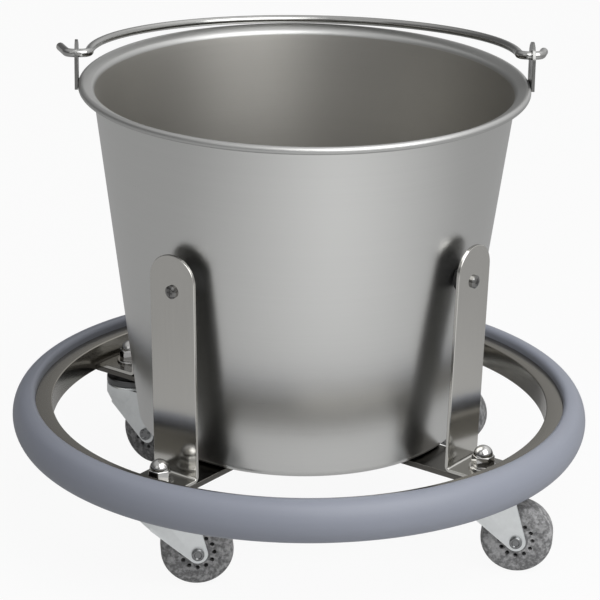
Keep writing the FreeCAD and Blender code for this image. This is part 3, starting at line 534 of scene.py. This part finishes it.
def polar(centre, radius, degrees):
    angle = math.radians(degrees)
    return centre + at(math.cos(angle) * radius, math.sin(angle) * radius)


def spin_round(mesh, steps):
    """Turn all that is drawn a full round about Z."""
    spin(mesh, mesh.verts[:] + mesh.edges[:], ORIGIN, UP, math.tau, steps, merge=True)


def placed(mesh, matrix):
    bmesh.ops.transform(mesh, matrix=matrix, verts=mesh.verts[:])
    return mesh


def weld(mesh):
    """Merge doubles."""
    bmesh.ops.remove_doubles(mesh, verts=mesh.verts[:], dist=WELD)


def closed(mesh):
    """One closed skin: doubles merged and normals outward."""
    weld(mesh)
    bmesh.ops.recalc_face_normals(mesh, faces=mesh.faces[:])
    return mesh


def body_of(node):
    bodies = frame["record"]["behaviour"]["bodies"]
    return next(body for body, nodes in bodies.items() if node in nodes)


def piece(name, mesh, node, slot, *finishes, bevel=0.0, segments=2):
    """Put a mesh in the scene for its node: on the node's body, smooth but for its sharp edges."""
    for face in mesh.faces:
        face.smooth = True
    for edge in mesh.edges:
        edge.smooth = not (edge.is_manifold and edge.calc_face_angle(0.0) > SHARP)
    data = bpy.data.meshes.new(name)
    mesh.to_mesh(data)
    mesh.free()
    for finish in finishes:
        data.materials.append(finish_named(finish))
    item = bpy.data.objects.new(name, data)
    bpy.context.scene.collection.objects.link(item)
    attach(item, body_of(node))
    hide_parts(node)
    if bevel:
        soft = item.modifiers.new("soft_edges", "BEVEL")
        soft.width = bevel
        soft.segments = segments
        soft.limit_method = "ANGLE"
        soft.angle_limit = SHARP
    return item


def dressed_copy(node, slot, *finishes, bevel=0.0):
    """The CAD solid's own surface, merged, with its edges softened."""
    mesh = bmesh.new()
    mesh.from_mesh(frame["nodes"][node].data)
    weld(mesh)
    bmesh.ops.dissolve_limit(mesh, angle_limit=FLAT, verts=mesh.verts[:], edges=mesh.edges[:])
    return piece(f"{node}_dressed", mesh, node, slot, *finishes, bevel=bevel)


def repaint(node, finish):
    """A CAD node keeps its shape and takes a finish."""
    for slot in frame["nodes"][node].material_slots:
        slot.material = finish_named(finish)


def join_copies(mesh, single, matrices):
    """Add a copy of the single part at each place."""
    data = bpy.data.meshes.new("single")
    single.to_mesh(data)
    single.free()
    for matrix in matrices:
        before = len(mesh.verts)
        mesh.from_mesh(data)
        bmesh.ops.transform(mesh, matrix=matrix, verts=mesh.verts[before:])
    bpy.data.meshes.remove(data)
    return mesh


def add_hexagon(mesh, across, low, high):
    """A hexagonal prism about Z, by its width across the flats."""
    radius = across / math.sqrt(3)
    middle = Matrix.Translation((0.0, 0.0, (low + high) / 2))
    bmesh.ops.create_cone(
        mesh, cap_ends=True, segments=6, radius1=radius, radius2=radius, depth=high - low, matrix=middle
    )


def arm_matrix(corner):
    """X along an arm of the carrier."""
    carrier = bpy.context.scene.kick_bucket.carrier
    return Matrix.Rotation(math.radians(CORNERS[corner]) + carrier.carrier_turn, 4, "Z")


def stem_matrix(corner):
    """Origin on an upright's foot, in the middle of the caster's stem, Z up."""
    carrier = bpy.context.scene.kick_bucket.carrier
    return arm_matrix(corner) @ Matrix.Translation((carrier.stem_circle, 0.0, carrier.foot_top))


def screw_matrix(corner):
    """Origin on an upright's inner face, in the middle of the screw, Z outwards."""
    carrier = bpy.context.scene.kick_bucket.carrier
    seat = Matrix.Translation((carrier.pad_seat, 0.0, carrier.screw_height))
    return arm_matrix(corner) @ seat @ Matrix.Rotation(math.pi / 2 + carrier.strip_lean, 4, "Y")


def axle_matrix(corner):
    """Origin in the middle of a wheel, Z along its axle and out of the side with the bolt's head."""
    joint = next(item for item in frame["joints"] if item["name"] == f"wheel_roll_{corner}")
    across = Vector(joint["axis"])
    turned = Matrix.Rotation(math.atan2(-across.x, across.y), 4, "Z")
    return Matrix.Translation(joint["pos_m"]) @ turned @ Matrix.Rotation(math.pi / 2, 4, "X")


# -------------------------------- pail


class KICKBUCKET_OT_pail(bpy.types.Operator):
    """Spin the drawn pail from the middle line of its sheet"""

    bl_idname = "kick_bucket.pail"
    bl_label = "Pail"

    def execute(self, context):
        size = context.scene.kick_bucket.pail
        taper, slope = math.degrees(size.taper), math.degrees(size.lip_slope)
        half, wall_rings = size.sheet / 2, 8
        blunt = 0.0002  # how far the edges of the base's panel are taken off
        top = size.base_height + size.height
        curl = at(size.rim_radius - size.curl_radius - half, top - size.curl_radius - half)
        curl_start = polar(curl, size.curl_radius, slope + 90.0)
        lip = polar(curl, size.flare_radius - size.curl_radius, slope - 90.0)
        wall_top = polar(lip, size.flare_radius, 180.0 - taper)
        # The tighter bend starts later up the wall, and leaves a flat before the curl.
        later = (size.flare_radius - size.lip_bend) * math.tan(math.radians(90.0 - slope - taper) / 2)
        bend_start = polar(wall_top, later, 90.0 - taper)
        bend = polar(bend_start, size.lip_bend, -taper)
        bend_end = polar(bend, size.lip_bend, slope + 90.0)
        base = size.base_height + half
        corner_height = base + size.corner_radius
        wall_foot = corner_height - size.corner_radius * math.sin(size.taper)
        foot_radius = wall_top.x - (wall_top.z - wall_foot) * math.tan(size.taper)
        corner = at(foot_radius - size.corner_radius * math.cos(size.taper), corner_height)
        foot = polar(corner, size.corner_radius, -taper)
        panel, brink = base + size.panel_rise, size.panel_radius
        outside = brink + size.panel_rise
        mesh, pen = outline(0.0, panel)
        pen.line(at(brink / 2, panel), at(brink - 2 * blunt, panel), at(brink + blunt, panel - blunt))
        pen.line(at(outside - blunt, base + blunt), at(outside + 2 * blunt, base), at(corner.x, base))
        pen.arc(corner, 90.0 - taper, steps=10)
        pen.line(*(foot.lerp(wall_top, ring / wall_rings) for ring in range(1, wall_rings + 1)))
        pen.line(bend_start)
        pen.arc(bend, slope + taper - 90.0, steps=10)
        pen.line(bend_end.lerp(curl_start, 0.5), curl_start)
        pen.arc(curl, -math.degrees(size.curl_sweep), steps=16)
        spin_round(mesh, context.scene.kick_bucket.round_steps)
        # The lip, on both sides of the sheet, takes the dimmed copy of the steel as painted shade.
        finishes = ("pail_inside", "pail_steel", "lip_steel")
        # The inside of the wall takes painted shade: a darker copy of the pail's steel.
        for face in closed(mesh).faces:
            on_lip = face.calc_center_median().z > bend_start.z
            face.material_index = finishes.index("lip_steel" if on_lip else "pail_inside")
        item = piece("pail_body", mesh, "pail_shell", "pail_steel", *finishes)
        wall = item.modifiers.new("sheet", "SOLIDIFY")
        wall.thickness = size.sheet
        wall.offset = 0.0
        wall.use_even_offset = True
        wall.material_offset = 1  # outside, the wall takes the next finish
        return {"FINISHED"}


class KICKBUCKET_OT_ears(bpy.types.Operator):
    """Finish the two lugs, with round tops and eyes"""

    bl_idname = "kick_bucket.ears"
    bl_label = "Ears"

    def execute(self, context):
        for node in ("ear_left", "ear_right"):
            dressed_copy(node, "pail_steel", "ear_steel", bevel=0.0003)
        return {"FINISHED"}


# -------------------------------- bail


class Sweep:
    """Carries a ring of edges along runs and arcs, as a wire is bent."""

    def __init__(self, mesh, radius, matrix, steps):
        self.mesh = mesh
        self.end = bmesh.ops.create_circle(mesh, segments=steps, radius=radius, matrix=matrix)["verts"]

    def ring(self):
        end = set(self.end)
        return [edge for edge in self.mesh.edges if end.issuperset(edge.verts) and len(edge.link_faces) < 2]

    def run(self, step):
        self.end = points_of(bmesh.ops.extrude_edge_only(self.mesh, edges=self.ring())["geom"])
        bmesh.ops.translate(self.mesh, verts=self.end, vec=step)

    def turn(self, centre, angle, steps):
        self.end = spin(self.mesh, self.ring(), centre, UP, angle, steps)

    def cap(self):
        bmesh.ops.contextual_create(self.mesh, geom=self.ring())


class KICKBUCKET_OT_bail(bpy.types.Operator):
    """Bend the bail from one wire: a half arch with its hook, then its mirror image"""

    bl_idname = "kick_bucket.bail"
    bl_label = "Bail"

    def execute(self, context):
        size = context.scene.kick_bucket.bail
        side, inner, outer = size.side_radius, size.inner_radius, size.outer_radius
        side_centre = Vector((size.half_width - side, size.side_height, 0.0))
        depth = size.reach - side_centre.y
        crown = (side_centre.x ** 2 + depth ** 2 - side ** 2) / (2 * (depth - side))
        crown_centre = Vector((0.0, size.reach - crown, 0.0))
        span = math.sqrt((side + inner) ** 2 - (side_centre.y - inner) ** 2)
        inner_centre = Vector((side_centre.x + span, inner, 0.0))
        outer_centre = Vector((inner_centre.x + size.pin, outer, 0.0))
        toward_side = side_centre - crown_centre
        leg = side_centre - inner_centre
        crown_sweep = math.atan2(toward_side.x, toward_side.y)
        side_sweep = math.atan2(-leg.x, -leg.y) - crown_sweep
        inner_sweep = math.pi / 2 - math.atan2(leg.y, -leg.x)
        away = Vector((math.cos(size.outer_sweep), math.sin(size.outer_sweep), 0.0))
        start = Matrix.Translation((0.0, size.reach, 0.0)) @ Matrix.Rotation(math.pi / 2, 4, "Y")
        mesh = bmesh.new()
        wire = Sweep(mesh, size.wire_radius, start, steps=20)
        wire.turn(crown_centre, -crown_sweep, steps=28)
        wire.turn(side_centre, -side_sweep, steps=40)
        wire.turn(inner_centre, inner_sweep, steps=12)
        wire.run(Vector((size.pin, 0.0, 0.0)))
        wire.turn(outer_centre, size.outer_sweep, steps=12)
        wire.run(away * size.right_tail)
        wire.cap()
        everything = mesh.verts[:] + mesh.edges[:] + mesh.faces[:]
        bmesh.ops.mirror(mesh, geom=everything, axis="X", merge_dist=WELD)
        # Lengthen the left tail: move the points of its end only.
        left_away = Vector((-away.x, away.y, 0.0))
        left_bend = Vector((-outer_centre.x, outer_centre.y, 0.0)) - outer * Vector((away.y, away.x, 0.0))
        end = [
            vert for vert in mesh.verts
            if vert.co.x < -outer_centre.x and (vert.co - left_bend).dot(left_away) > size.right_tail / 2
        ]
        bmesh.ops.translate(mesh, verts=end, vec=left_away * (size.left_tail - size.right_tail))
        lie = Matrix.Translation((0.0, 0.0, size.pivot_height)) @ Matrix.Rotation(-size.rest_tilt, 4, "X")
        placed(closed(mesh), lie)
        piece("bail_wire", mesh, "bail", "wire_steel", "wire_steel", bevel=0.0008, segments=3)
        return {"FINISHED"}


# -------------------------------- carrier


class KICKBUCKET_OT_ring(bpy.types.Operator):
    """Spin the channel that the carrier's bars end in"""

    bl_idname = "kick_bucket.ring"
    bl_label = "Ring"

    def execute(self, context):
        size = context.scene.kick_bucket.carrier
        sheet, bend = size.sheet, 0.0008
        inside, outside = size.ring_radius, size.ring_radius + size.flange
        low, high = size.ring_base, size.ring_base + size.ring_height
        mesh, pen = outline(outside, low)
        pen.line(at(outside, low + sheet), at(inside + sheet, low + sheet))
        pen.line(at(inside + sheet, high - sheet), at(outside, high - sheet))
        pen.line(at(outside, high), at(inside + bend, high))
        pen.arc(at(inside + bend, high - bend), 90.0, steps=5)
        pen.line(at(inside, low + bend))
        pen.arc(at(inside + bend, low + bend), 90.0, steps=5)
        pen.close()
        spin_round(mesh, context.scene.kick_bucket.round_steps)
        piece("ring_channel", closed(mesh), "carrier_ring", "carrier_steel", "ring_steel", bevel=0.0003)
        return {"FINISHED"}


class KICKBUCKET_OT_bumper(bpy.types.Operator):
    """Spin the rubber bumper, with its tongue in the channel"""

    bl_idname = "kick_bucket.bumper"
    bl_label = "Bumper"

    def execute(self, context):
        size = context.scene.kick_bucket.carrier
        edge, shoulder, crown = 0.0035, 0.011, 0.019  # radii of the section's arcs
        tongue_length, tongue_gap = 0.008, 0.00015
        back = size.ring_radius + size.flange
        middle = size.ring_base + size.ring_height / 2
        half = size.bumper_height / 2
        tongue = size.ring_height / 2 - size.sheet - tongue_gap
        lift = half - shoulder
        spread = math.sqrt((crown - shoulder) ** 2 - lift ** 2)
        swing = math.degrees(math.atan2(lift, spread))
        crown_centre = back + size.bumper_depth - crown
        shoulder_centre = crown_centre + spread
        mesh, pen = outline(back, middle - tongue)
        pen.line(at(back, middle - half + edge))
        pen.arc(at(back + edge, middle - half + edge), 90.0, steps=6)
        pen.line(at(shoulder_centre, middle - half))
        pen.arc(at(shoulder_centre, middle - lift), 90.0 - swing, steps=12)
        pen.arc(at(crown_centre, middle), swing * 2, steps=20)
        pen.arc(at(shoulder_centre, middle + lift), 90.0 - swing, steps=12)
        pen.line(at(back + edge, middle + half))
        pen.arc(at(back + edge, middle + half - edge), 90.0, steps=6)
        pen.line(at(back, middle + tongue), at(back - tongue_length, middle + tongue))
        pen.line(at(back - tongue_length, middle - tongue))
        pen.close()
        spin_round(mesh, context.scene.kick_bucket.round_steps)
        piece("ring_bumper", closed(mesh), "bumper", "bumper_rubber", "bumper_rubber")
        return {"FINISHED"}


class KICKBUCKET_OT_bars(bpy.types.Operator):
    """Finish the cross bars"""

    bl_idname = "kick_bucket.bars"
    bl_label = "Cross bars"

    def execute(self, context):
        dressed_copy("cross_bar_full", "carrier_steel", "bar_steel_full", bevel=0.0004)
        for node in ("cross_bar_half_front", "cross_bar_half_rear"):
            dressed_copy(node, "carrier_steel", "bar_steel_half", bevel=0.0004)
        return {"FINISHED"}


class KICKBUCKET_OT_strips(bpy.types.Operator):
    """Finish the four upright strips: their faces, and painted shade on their backs towards the pail and on their
    feet
    """

    bl_idname = "kick_bucket.strips"
    bl_label = "Uprights"

    def execute(self, context):
        facing = 0.9  # least cosine between a face and the way it is said to look
        finishes = ("strip_steel", "strip_back", "strip_foot")
        for corner in CORNERS:
            item = dressed_copy(f"upright_{corner}", "carrier_steel", *finishes, bevel=0.0004)
            outward = arm_matrix(corner).to_3x3() @ Vector((1.0, 0.0, 0.0))
            for face in item.data.polygons:
                # Backs towards the pail and level faces take the painted shade.
                if face.normal.dot(outward) < -facing:
                    face.material_index = finishes.index("strip_back")
                elif abs(face.normal.z) > facing:
                    face.material_index = finishes.index("strip_foot")
        return {"FINISHED"}


class KICKBUCKET_OT_pads(bpy.types.Operator):
    """Turn the rubber buttons between the uprights and the pail"""

    bl_idname = "kick_bucket.pads"
    bl_label = "Pads"

    def execute(self, context):
        size = context.scene.kick_bucket.fastener
        edge, tip_edge = 0.0006, 0.0015
        inward = Matrix.Rotation(math.pi, 4, "X")
        for corner in CORNERS:
            mesh, pen = outline(0.0, 0.0)
            pen.line(at(size.pad_base - edge, 0.0))
            pen.arc(at(size.pad_base - edge, edge), 90.0, steps=4)
            pen.line(at(size.pad_base, size.pad_rim), at(size.pad_tip, size.pad_length - tip_edge))
            pen.arc(at(size.pad_tip - tip_edge, size.pad_length - tip_edge), 90.0, steps=6)
            pen.line(at(0.0, size.pad_length))
            spin_round(mesh, steps=64)
            placed(mesh, screw_matrix(corner) @ inward)
            piece(f"pad_button_{corner}", closed(mesh), f"pad_{corner}", "pad_rubber", "pad_rubber")
        repaint("pad_inserts", "fork_zinc")
        return {"FINISHED"}


class KICKBUCKET_OT_screws(bpy.types.Operator):
    """Turn the pan head screws and sink the crosses in their heads"""

    bl_idname = "kick_bucket.screws"
    bl_label = "Pad screws"

    def execute(self, context):
        size = context.scene.kick_bucket.fastener
        seat = context.scene.kick_bucket.carrier.strip_sheet
        head, dome = size.screw_head, size.screw_dome
        dome_radius = (head ** 2 + dome ** 2) / (2 * dome)
        centre = seat + size.screw_side + dome - dome_radius
        rim = 0.0027  # radius at which the dome ends and the mouth of the cross starts
        rim_angle, head_angle = [math.degrees(math.asin(radius / dome_radius)) for radius in (rim, head)]
        top = centre + math.sqrt(dome_radius ** 2 - rim ** 2)
        single, pen = outline(rim, top)
        pen.arc(at(0.0, centre), rim_angle - head_angle, steps=6)
        pen.line(at(head, seat), at(size.screw_shank, seat), at(size.screw_shank, seat - size.screw_length))
        pen.line(at(0.0, seat - size.screw_length))
        spin_round(single, steps=24)
        weld(single)
        dome_end = [edge for edge in single.edges if edge.is_boundary]
        mouth = self.cross(single, top)
        bmesh.ops.bridge_loops(single, edges=dome_end + mouth)
        depth, narrowed = 0.0016, 0.6
        sunk = bmesh.ops.extrude_edge_only(single, edges=mouth)["geom"]
        bmesh.ops.translate(single, verts=points_of(sunk), vec=(0.0, 0.0, -depth))
        bmesh.ops.scale(single, verts=points_of(sunk), vec=(narrowed, narrowed, 1.0))
        bottom = [item for item in sunk if isinstance(item, bmesh.types.BMEdge) and item.is_boundary]
        bmesh.ops.contextual_create(single, geom=bottom)
        mesh = join_copies(bmesh.new(), single, [screw_matrix(corner) for corner in CORNERS])
        piece("pad_screw_set", closed(mesh), "pad_screws", "bright_steel", "screw_chrome")
        return {"FINISHED"}

    def cross(self, mesh, height):
        """Draw the outline of a cross, one quarter after another. Gives its edges."""
        arm, slot = 0.0023, 0.0005  # half the cross's length and half an arm's width
        middle = (arm + slot) / 2
        quarter = ((arm, 0.0), (arm, slot), (middle, slot), (slot, slot), (slot, middle), (slot, arm))
        corners = [
            Matrix.Rotation(math.pi / 2 * turns, 3, "Z") @ Vector((across, along, height))
            for turns in range(4) for across, along in quarter
        ]
        pen = Pen(mesh, corners[0], UP)
        pen.line(*corners[1:])
        pen.close()
        return [edge for edge in mesh.edges if edge.is_wire]


class KICKBUCKET_OT_nuts(bpy.types.Operator):
    """Turn the domed nuts and washers on the caster stems"""

    bl_idname = "kick_bucket.nuts"
    bl_label = "Nuts and washers"

    def execute(self, context):
        size = context.scene.kick_bucket.fastener
        stems = [stem_matrix(corner) for corner in CORNERS]
        hole, outside, sheet = size.washer_hole, size.washer_radius, size.washer_sheet
        disc, pen = outline(hole, 0.0)
        pen.line(at(outside, 0.0), at(outside, sheet), at(hole, sheet))
        pen.close()
        spin_round(disc, steps=64)
        washers = closed(join_copies(bmesh.new(), disc, stems))
        piece("washer_set", washers, "stem_washers", "bright_steel", "nut_chrome", bevel=0.0003)
        top, sunk = sheet + size.nut_height, 0.001  # the dome starts inside the hexagon
        cap, pen = outline(0.0, top - sunk)
        pen.line(at(size.nut_dome, top - sunk), at(size.nut_dome, top))
        pen.arc(at(0.0, top), 90.0, steps=16)
        spin_round(cap, steps=64)
        add_hexagon(cap, size.nut_across, sheet, top)
        nuts = closed(join_copies(bmesh.new(), cap, stems))
        piece("acorn_nut_set", nuts, "acorn_nuts", "bright_steel", "nut_chrome", bevel=0.0006, segments=3)
        return {"FINISHED"}


# -------------------------------- casters


def on_axle(name, mesh, node, corner, slot, finish, bevel=0.0):
    """Set a part that was made about Z on its caster's axle, and put it in the scene."""
    closed(placed(mesh, axle_matrix(corner)))
    piece(f"{name}_{corner}", mesh, f"{node}_{corner}", slot, finish, bevel=bevel)


class KICKBUCKET_OT_forks(bpy.types.Operator):
    """Finish the caster forks, stems, race caps and balls"""

    bl_idname = "kick_bucket.forks"
    bl_label = "Forks"

    def execute(self, context):
        for corner in CORNERS:
            dressed_copy(f"fork_{corner}", "zinc_steel", "fork_zinc", bevel=0.0003)
            dressed_copy(f"race_cap_{corner}", "zinc_steel", "cap_steel")
            dressed_copy(f"caster_stem_{corner}", "zinc_steel", "fork_zinc")
            repaint(f"swivel_balls_{corner}", "nut_chrome")
        return {"FINISHED"}


class KICKBUCKET_OT_axles(bpy.types.Operator):
    """Turn the axle bolts, with their heads and thread ends, and set their nuts"""

    bl_idname = "kick_bucket.axles"
    bl_label = "Axles"

    def execute(self, context):
        size = context.scene.kick_bucket.caster
        side, shank, head = size.fork_side, size.axle_radius, size.axle_head
        head_end, nut_end = side + size.axle_head_height, side + size.axle_nut_height
        edge, groove, pitch = 0.0012, 0.0003, 0.0006
        dimple, dimple_mouth, dimple_floor = 0.0007, head * 0.62, head * 0.5
        end = nut_end + size.axle_end
        for corner in CORNERS:
            bolt, pen = outline(0.0, -end)
            pen.line(at(shank - groove, -end))
            for ridge in range(round(size.axle_end / pitch)):
                low = ridge * pitch - end
                pen.line(at(shank, low + pitch / 2), at(shank - groove, low + pitch))
            pen.line(at(shank, -nut_end), at(shank, side), at(head, side), at(head, head_end - edge))
            pen.arc(at(head - edge, head_end - edge), 90.0, steps=6)
            pen.line(at(dimple_mouth, head_end), at(dimple_floor, head_end - dimple))
            pen.line(at(0.0, head_end - dimple))
            spin_round(bolt, steps=48)
            on_axle("axle", bolt, "axle_bolt", corner, "zinc_steel", "axle_steel")
            nut = bmesh.new()
            add_hexagon(nut, size.axle_nut_across, -nut_end, -side)
            on_axle("axle_hex", nut, "axle_nut", corner, "zinc_steel", "fork_zinc", bevel=0.0005)
            repaint(f"axle_sleeve_{corner}", "fork_zinc")
        return {"FINISHED"}


class KICKBUCKET_OT_wheels(bpy.types.Operator):
    """Mould the marbled rubber wheels, with small holes right through, and their plastic cores"""

    bl_idname = "kick_bucket.wheels"
    bl_label = "Wheels"

    def execute(self, context):
        size = context.scene.kick_bucket.caster
        for corner in CORNERS:
            on_axle("tread", self.tyre(size), "tyre", corner, "wheel_rubber", "wheel_rubber")
            core = self.core(size)
            on_axle("core", core, "wheel_core", corner, "core_plastic", "core_plastic", bevel=0.0004)
        return {"FINISHED"}

    def tyre(self, size):
        """One slice of the web round its hole, copied round and pushed through, then the tread spun on."""
        shoulder = size.wheel_radius - size.tread_round
        depth = size.wheel_half - size.tread_round
        slice_angle, slice_steps, side_steps = 360.0 / HOLE_COUNT, 8, 4
        mesh = bmesh.new()
        hole = Matrix.Translation((size.hole_circle, 0.0, 0.0))
        bmesh.ops.create_circle(mesh, segments=24, radius=size.hole_radius, matrix=hole)
        far_way = Matrix.Rotation(math.radians(slice_angle / 2), 3, "Z") @ Vector((1.0, 0.0, 0.0))
        near_way = Vector((far_way.x, -far_way.y, 0.0))
        radii = [
            size.core_radius + (shoulder - size.core_radius) * step / side_steps
            for step in range(side_steps + 1)
        ]
        pen = Pen(mesh, near_way * size.core_radius, UP)
        pen.arc(ORIGIN, slice_angle, slice_steps)
        pen.line(*(far_way * radius for radius in radii[1:]))
        pen.arc(ORIGIN, -slice_angle, slice_steps)
        pen.line(*(near_way * radius for radius in radii[-2:0:-1]))
        pen.close()
        bmesh.ops.bridge_loops(mesh, edges=mesh.edges[:])
        everything = mesh.verts[:] + mesh.edges[:] + mesh.faces[:]
        spin(mesh, everything, ORIGIN, UP, math.tau, HOLE_COUNT, duplicate=True)
        weld(mesh)
        bmesh.ops.translate(mesh, verts=mesh.verts[:], vec=(0.0, 0.0, size.wheel_half))
        pushed = bmesh.ops.extrude_face_region(mesh, geom=mesh.faces[:], use_keep_orig=True)["geom"]
        bmesh.ops.translate(mesh, verts=points_of(pushed), vec=(0.0, 0.0, -size.wheel_half * 2))
        # The extrusion's own outer wall gives way to the tread.
        inner = shoulder - 10 * WELD
        wall = [face for face in mesh.faces if all(vert.co.xy.length > inner for vert in face.verts)]
        bmesh.ops.delete(mesh, geom=wall, context="FACES")
        tread, pen = outline(shoulder, -size.wheel_half)
        pen.arc(at(shoulder, -depth), 90.0, steps=8)
        pen.line(at(size.wheel_radius, depth))
        pen.arc(at(shoulder, depth), 90.0, steps=8)
        spin_round(tread, HOLE_COUNT * slice_steps)
        return join_copies(mesh, tread, [Matrix()])

    def core(self, size):
        inside, outside, half = size.core_bore, size.core_radius, size.core_half
        mesh, pen = outline(inside, -half)
        pen.line(at(outside, -half), at(outside, half), at(inside, half))
        pen.close()
        spin_round(mesh, steps=64)
        return mesh


# -------------------------------- studio


class KICKBUCKET_OT_stage(bpy.types.Operator):
    """Set up the floor, the soft lights, the room and the camera"""

    bl_idname = "kick_bucket.stage"
    bl_label = "Studio"

    def execute(self, context):
        size = context.scene.kick_bucket.stage
        mesh = bmesh.new()
        bmesh.ops.create_grid(mesh, x_segments=1, y_segments=1, size=size.floor_size / 2)
        data = bpy.data.meshes.new("floor")
        mesh.to_mesh(data)
        mesh.free()
        data.materials.append(self.floor_paint())
        self.added("floor", data)
        context.scene.world = self.room()
        self.add_lamp("key", size.key_place, size.key_side, size.key_power)
        self.add_lamp("fill", size.fill_place, size.fill_side, size.fill_power)
        self.add_camera(size)
        context.scene.view_settings.view_transform = "Standard"
        return {"FINISHED"}

    def added(self, name, data):
        item = bpy.data.objects.new(name, data)
        bpy.context.scene.collection.objects.link(item)
        return item

    def rays(self, finish):
        """Marks the camera's own rays, and those that come by way of gloss or glass."""
        seen, glossy, through = [
            finish.node("ShaderNodeLightPath", {}, {}, output=f"Is {kind} Ray")
            for kind in ("Camera", "Glossy", "Transmission")
        ]
        return seen, glossy + through

    def floor_paint(self):
        """Pale floor that keeps the shadows: near white as seen, and in gloss a pool of light in front."""
        finish = Finish("floor_paint")
        seen, mirrored = self.rays(finish)
        x, y, _ = finish.split(finish.place())
        across, ahead = x - POOL_PLACE[0], y - POOL_PLACE[1]
        pool = (POOL_LEVEL - (across * across + ahead * ahead) ** 0.5 * POOL_FALL).at_least(POOL_EDGE)
        grey = {"Color": (FLOOR_GREY, FLOOR_GREY, FLOOR_GREY, 1.0)}
        matte = finish.node("ShaderNodeBsdfDiffuse", {}, grey)
        bright = finish.node("ShaderNodeEmission", {}, {"Strength": mirrored * pool + seen})
        amount = seen * FLOOR_SEEN + mirrored * FLOOR_GLOSS
        shade = finish.node("ShaderNodeMixShader", {}, {0: amount, 1: matte, 2: bright})
        return finish.finished(shade, "ShaderNodeOutputMaterial")

    def room(self):
        """Bright overhead, dimmer round the sides and darkest on the left, with plain white behind."""
        room = Finish("studio", bpy.data.worlds)
        seen, mirrored = self.rays(room)
        across, along, up = room.split(room.place("Generated"))
        right = (across - along * SIDE_SLANT).above(*SIDE_STEP)
        sides = right * (SIDE_RIGHT - SIDE_LEFT) + SIDE_LEFT
        strength = up.above(*OVERHEAD_STEP) * OVERHEAD + sides
        soft, white = [
            room.node("ShaderNodeBackground", {}, {"Color": (1.0, 1.0, 1.0, 1.0), "Strength": level})
            for level in (strength, 1.0)
        ]
        amount = seen + mirrored * ROOM_GLOSS
        shade = room.node("ShaderNodeMixShader", {}, {0: amount, 1: soft, 2: white})
        return room.finished(shade, "ShaderNodeOutputWorld")

    def add_lamp(self, name, place, side, power):
        data = bpy.data.lights.new(name, "AREA")
        data.shape = "SQUARE"
        data.size = side
        data.energy = power
        lamp = self.added(name, data)
        lamp.location = place
        lamp.rotation_euler = (LAMP_AIM - Vector(place)).to_track_quat("-Z", "Y").to_euler()

    def add_camera(self, size):
        data = bpy.data.cameras.new("camera")
        data.lens = size.lens
        data.sensor_width = SENSOR
        data.clip_end = SIGHT
        camera = self.added("camera", data)
        turned = Matrix.Rotation(size.heading, 4, "Z")
        dipped = Matrix.Rotation(math.pi / 2 - size.dip, 4, "X")
        rolled = Matrix.Rotation(size.roll, 4, "Z")
        camera.matrix_world = Matrix.Translation(size.camera_place) @ turned @ dipped @ rolled
        bpy.context.scene.camera = camera


PIECE_OPERATORS = (
    KICKBUCKET_OT_pail,
    KICKBUCKET_OT_ears,
    KICKBUCKET_OT_bail,
    KICKBUCKET_OT_ring,
    KICKBUCKET_OT_bumper,
    KICKBUCKET_OT_bars,
    KICKBUCKET_OT_strips,
    KICKBUCKET_OT_pads,
    KICKBUCKET_OT_screws,
    KICKBUCKET_OT_nuts,
    KICKBUCKET_OT_forks,
    KICKBUCKET_OT_axles,
    KICKBUCKET_OT_wheels,
    KICKBUCKET_OT_stage,
)


class KICKBUCKET_PT_panel(bpy.types.Panel):
    """Lists the pieces in the order in which they are made"""

    bl_idname = "KICKBUCKET_PT_panel"
    bl_label = "Kick Bucket"
    bl_space_type = "VIEW_3D"
    bl_region_type = "UI"
    bl_category = "Kick Bucket"

    def draw(self, context):
        for operator in PIECE_OPERATORS:
            self.layout.operator(operator.bl_idname)


CLASSES = (
    PailSettings,
    BailSettings,
    CarrierSettings,
    FastenerSettings,
    CasterSettings,
    StageSettings,
    KickBucketSettings,
    *PIECE_OPERATORS,
    KICKBUCKET_PT_panel,
)


def register():
    for item in CLASSES:
        bpy.utils.register_class(item)
    bpy.types.Scene.kick_bucket = PointerProperty(type=KickBucketSettings)


def unregister():
    del bpy.types.Scene.kick_bucket
    for item in reversed(CLASSES):
        bpy.utils.unregister_class(item)


def main():
    register()
    for operator in PIECE_OPERATORS:
        group, name = operator.bl_idname.split(".")
        getattr(getattr(bpy.ops, group), name)()


if __name__ == "__main__":
    main()
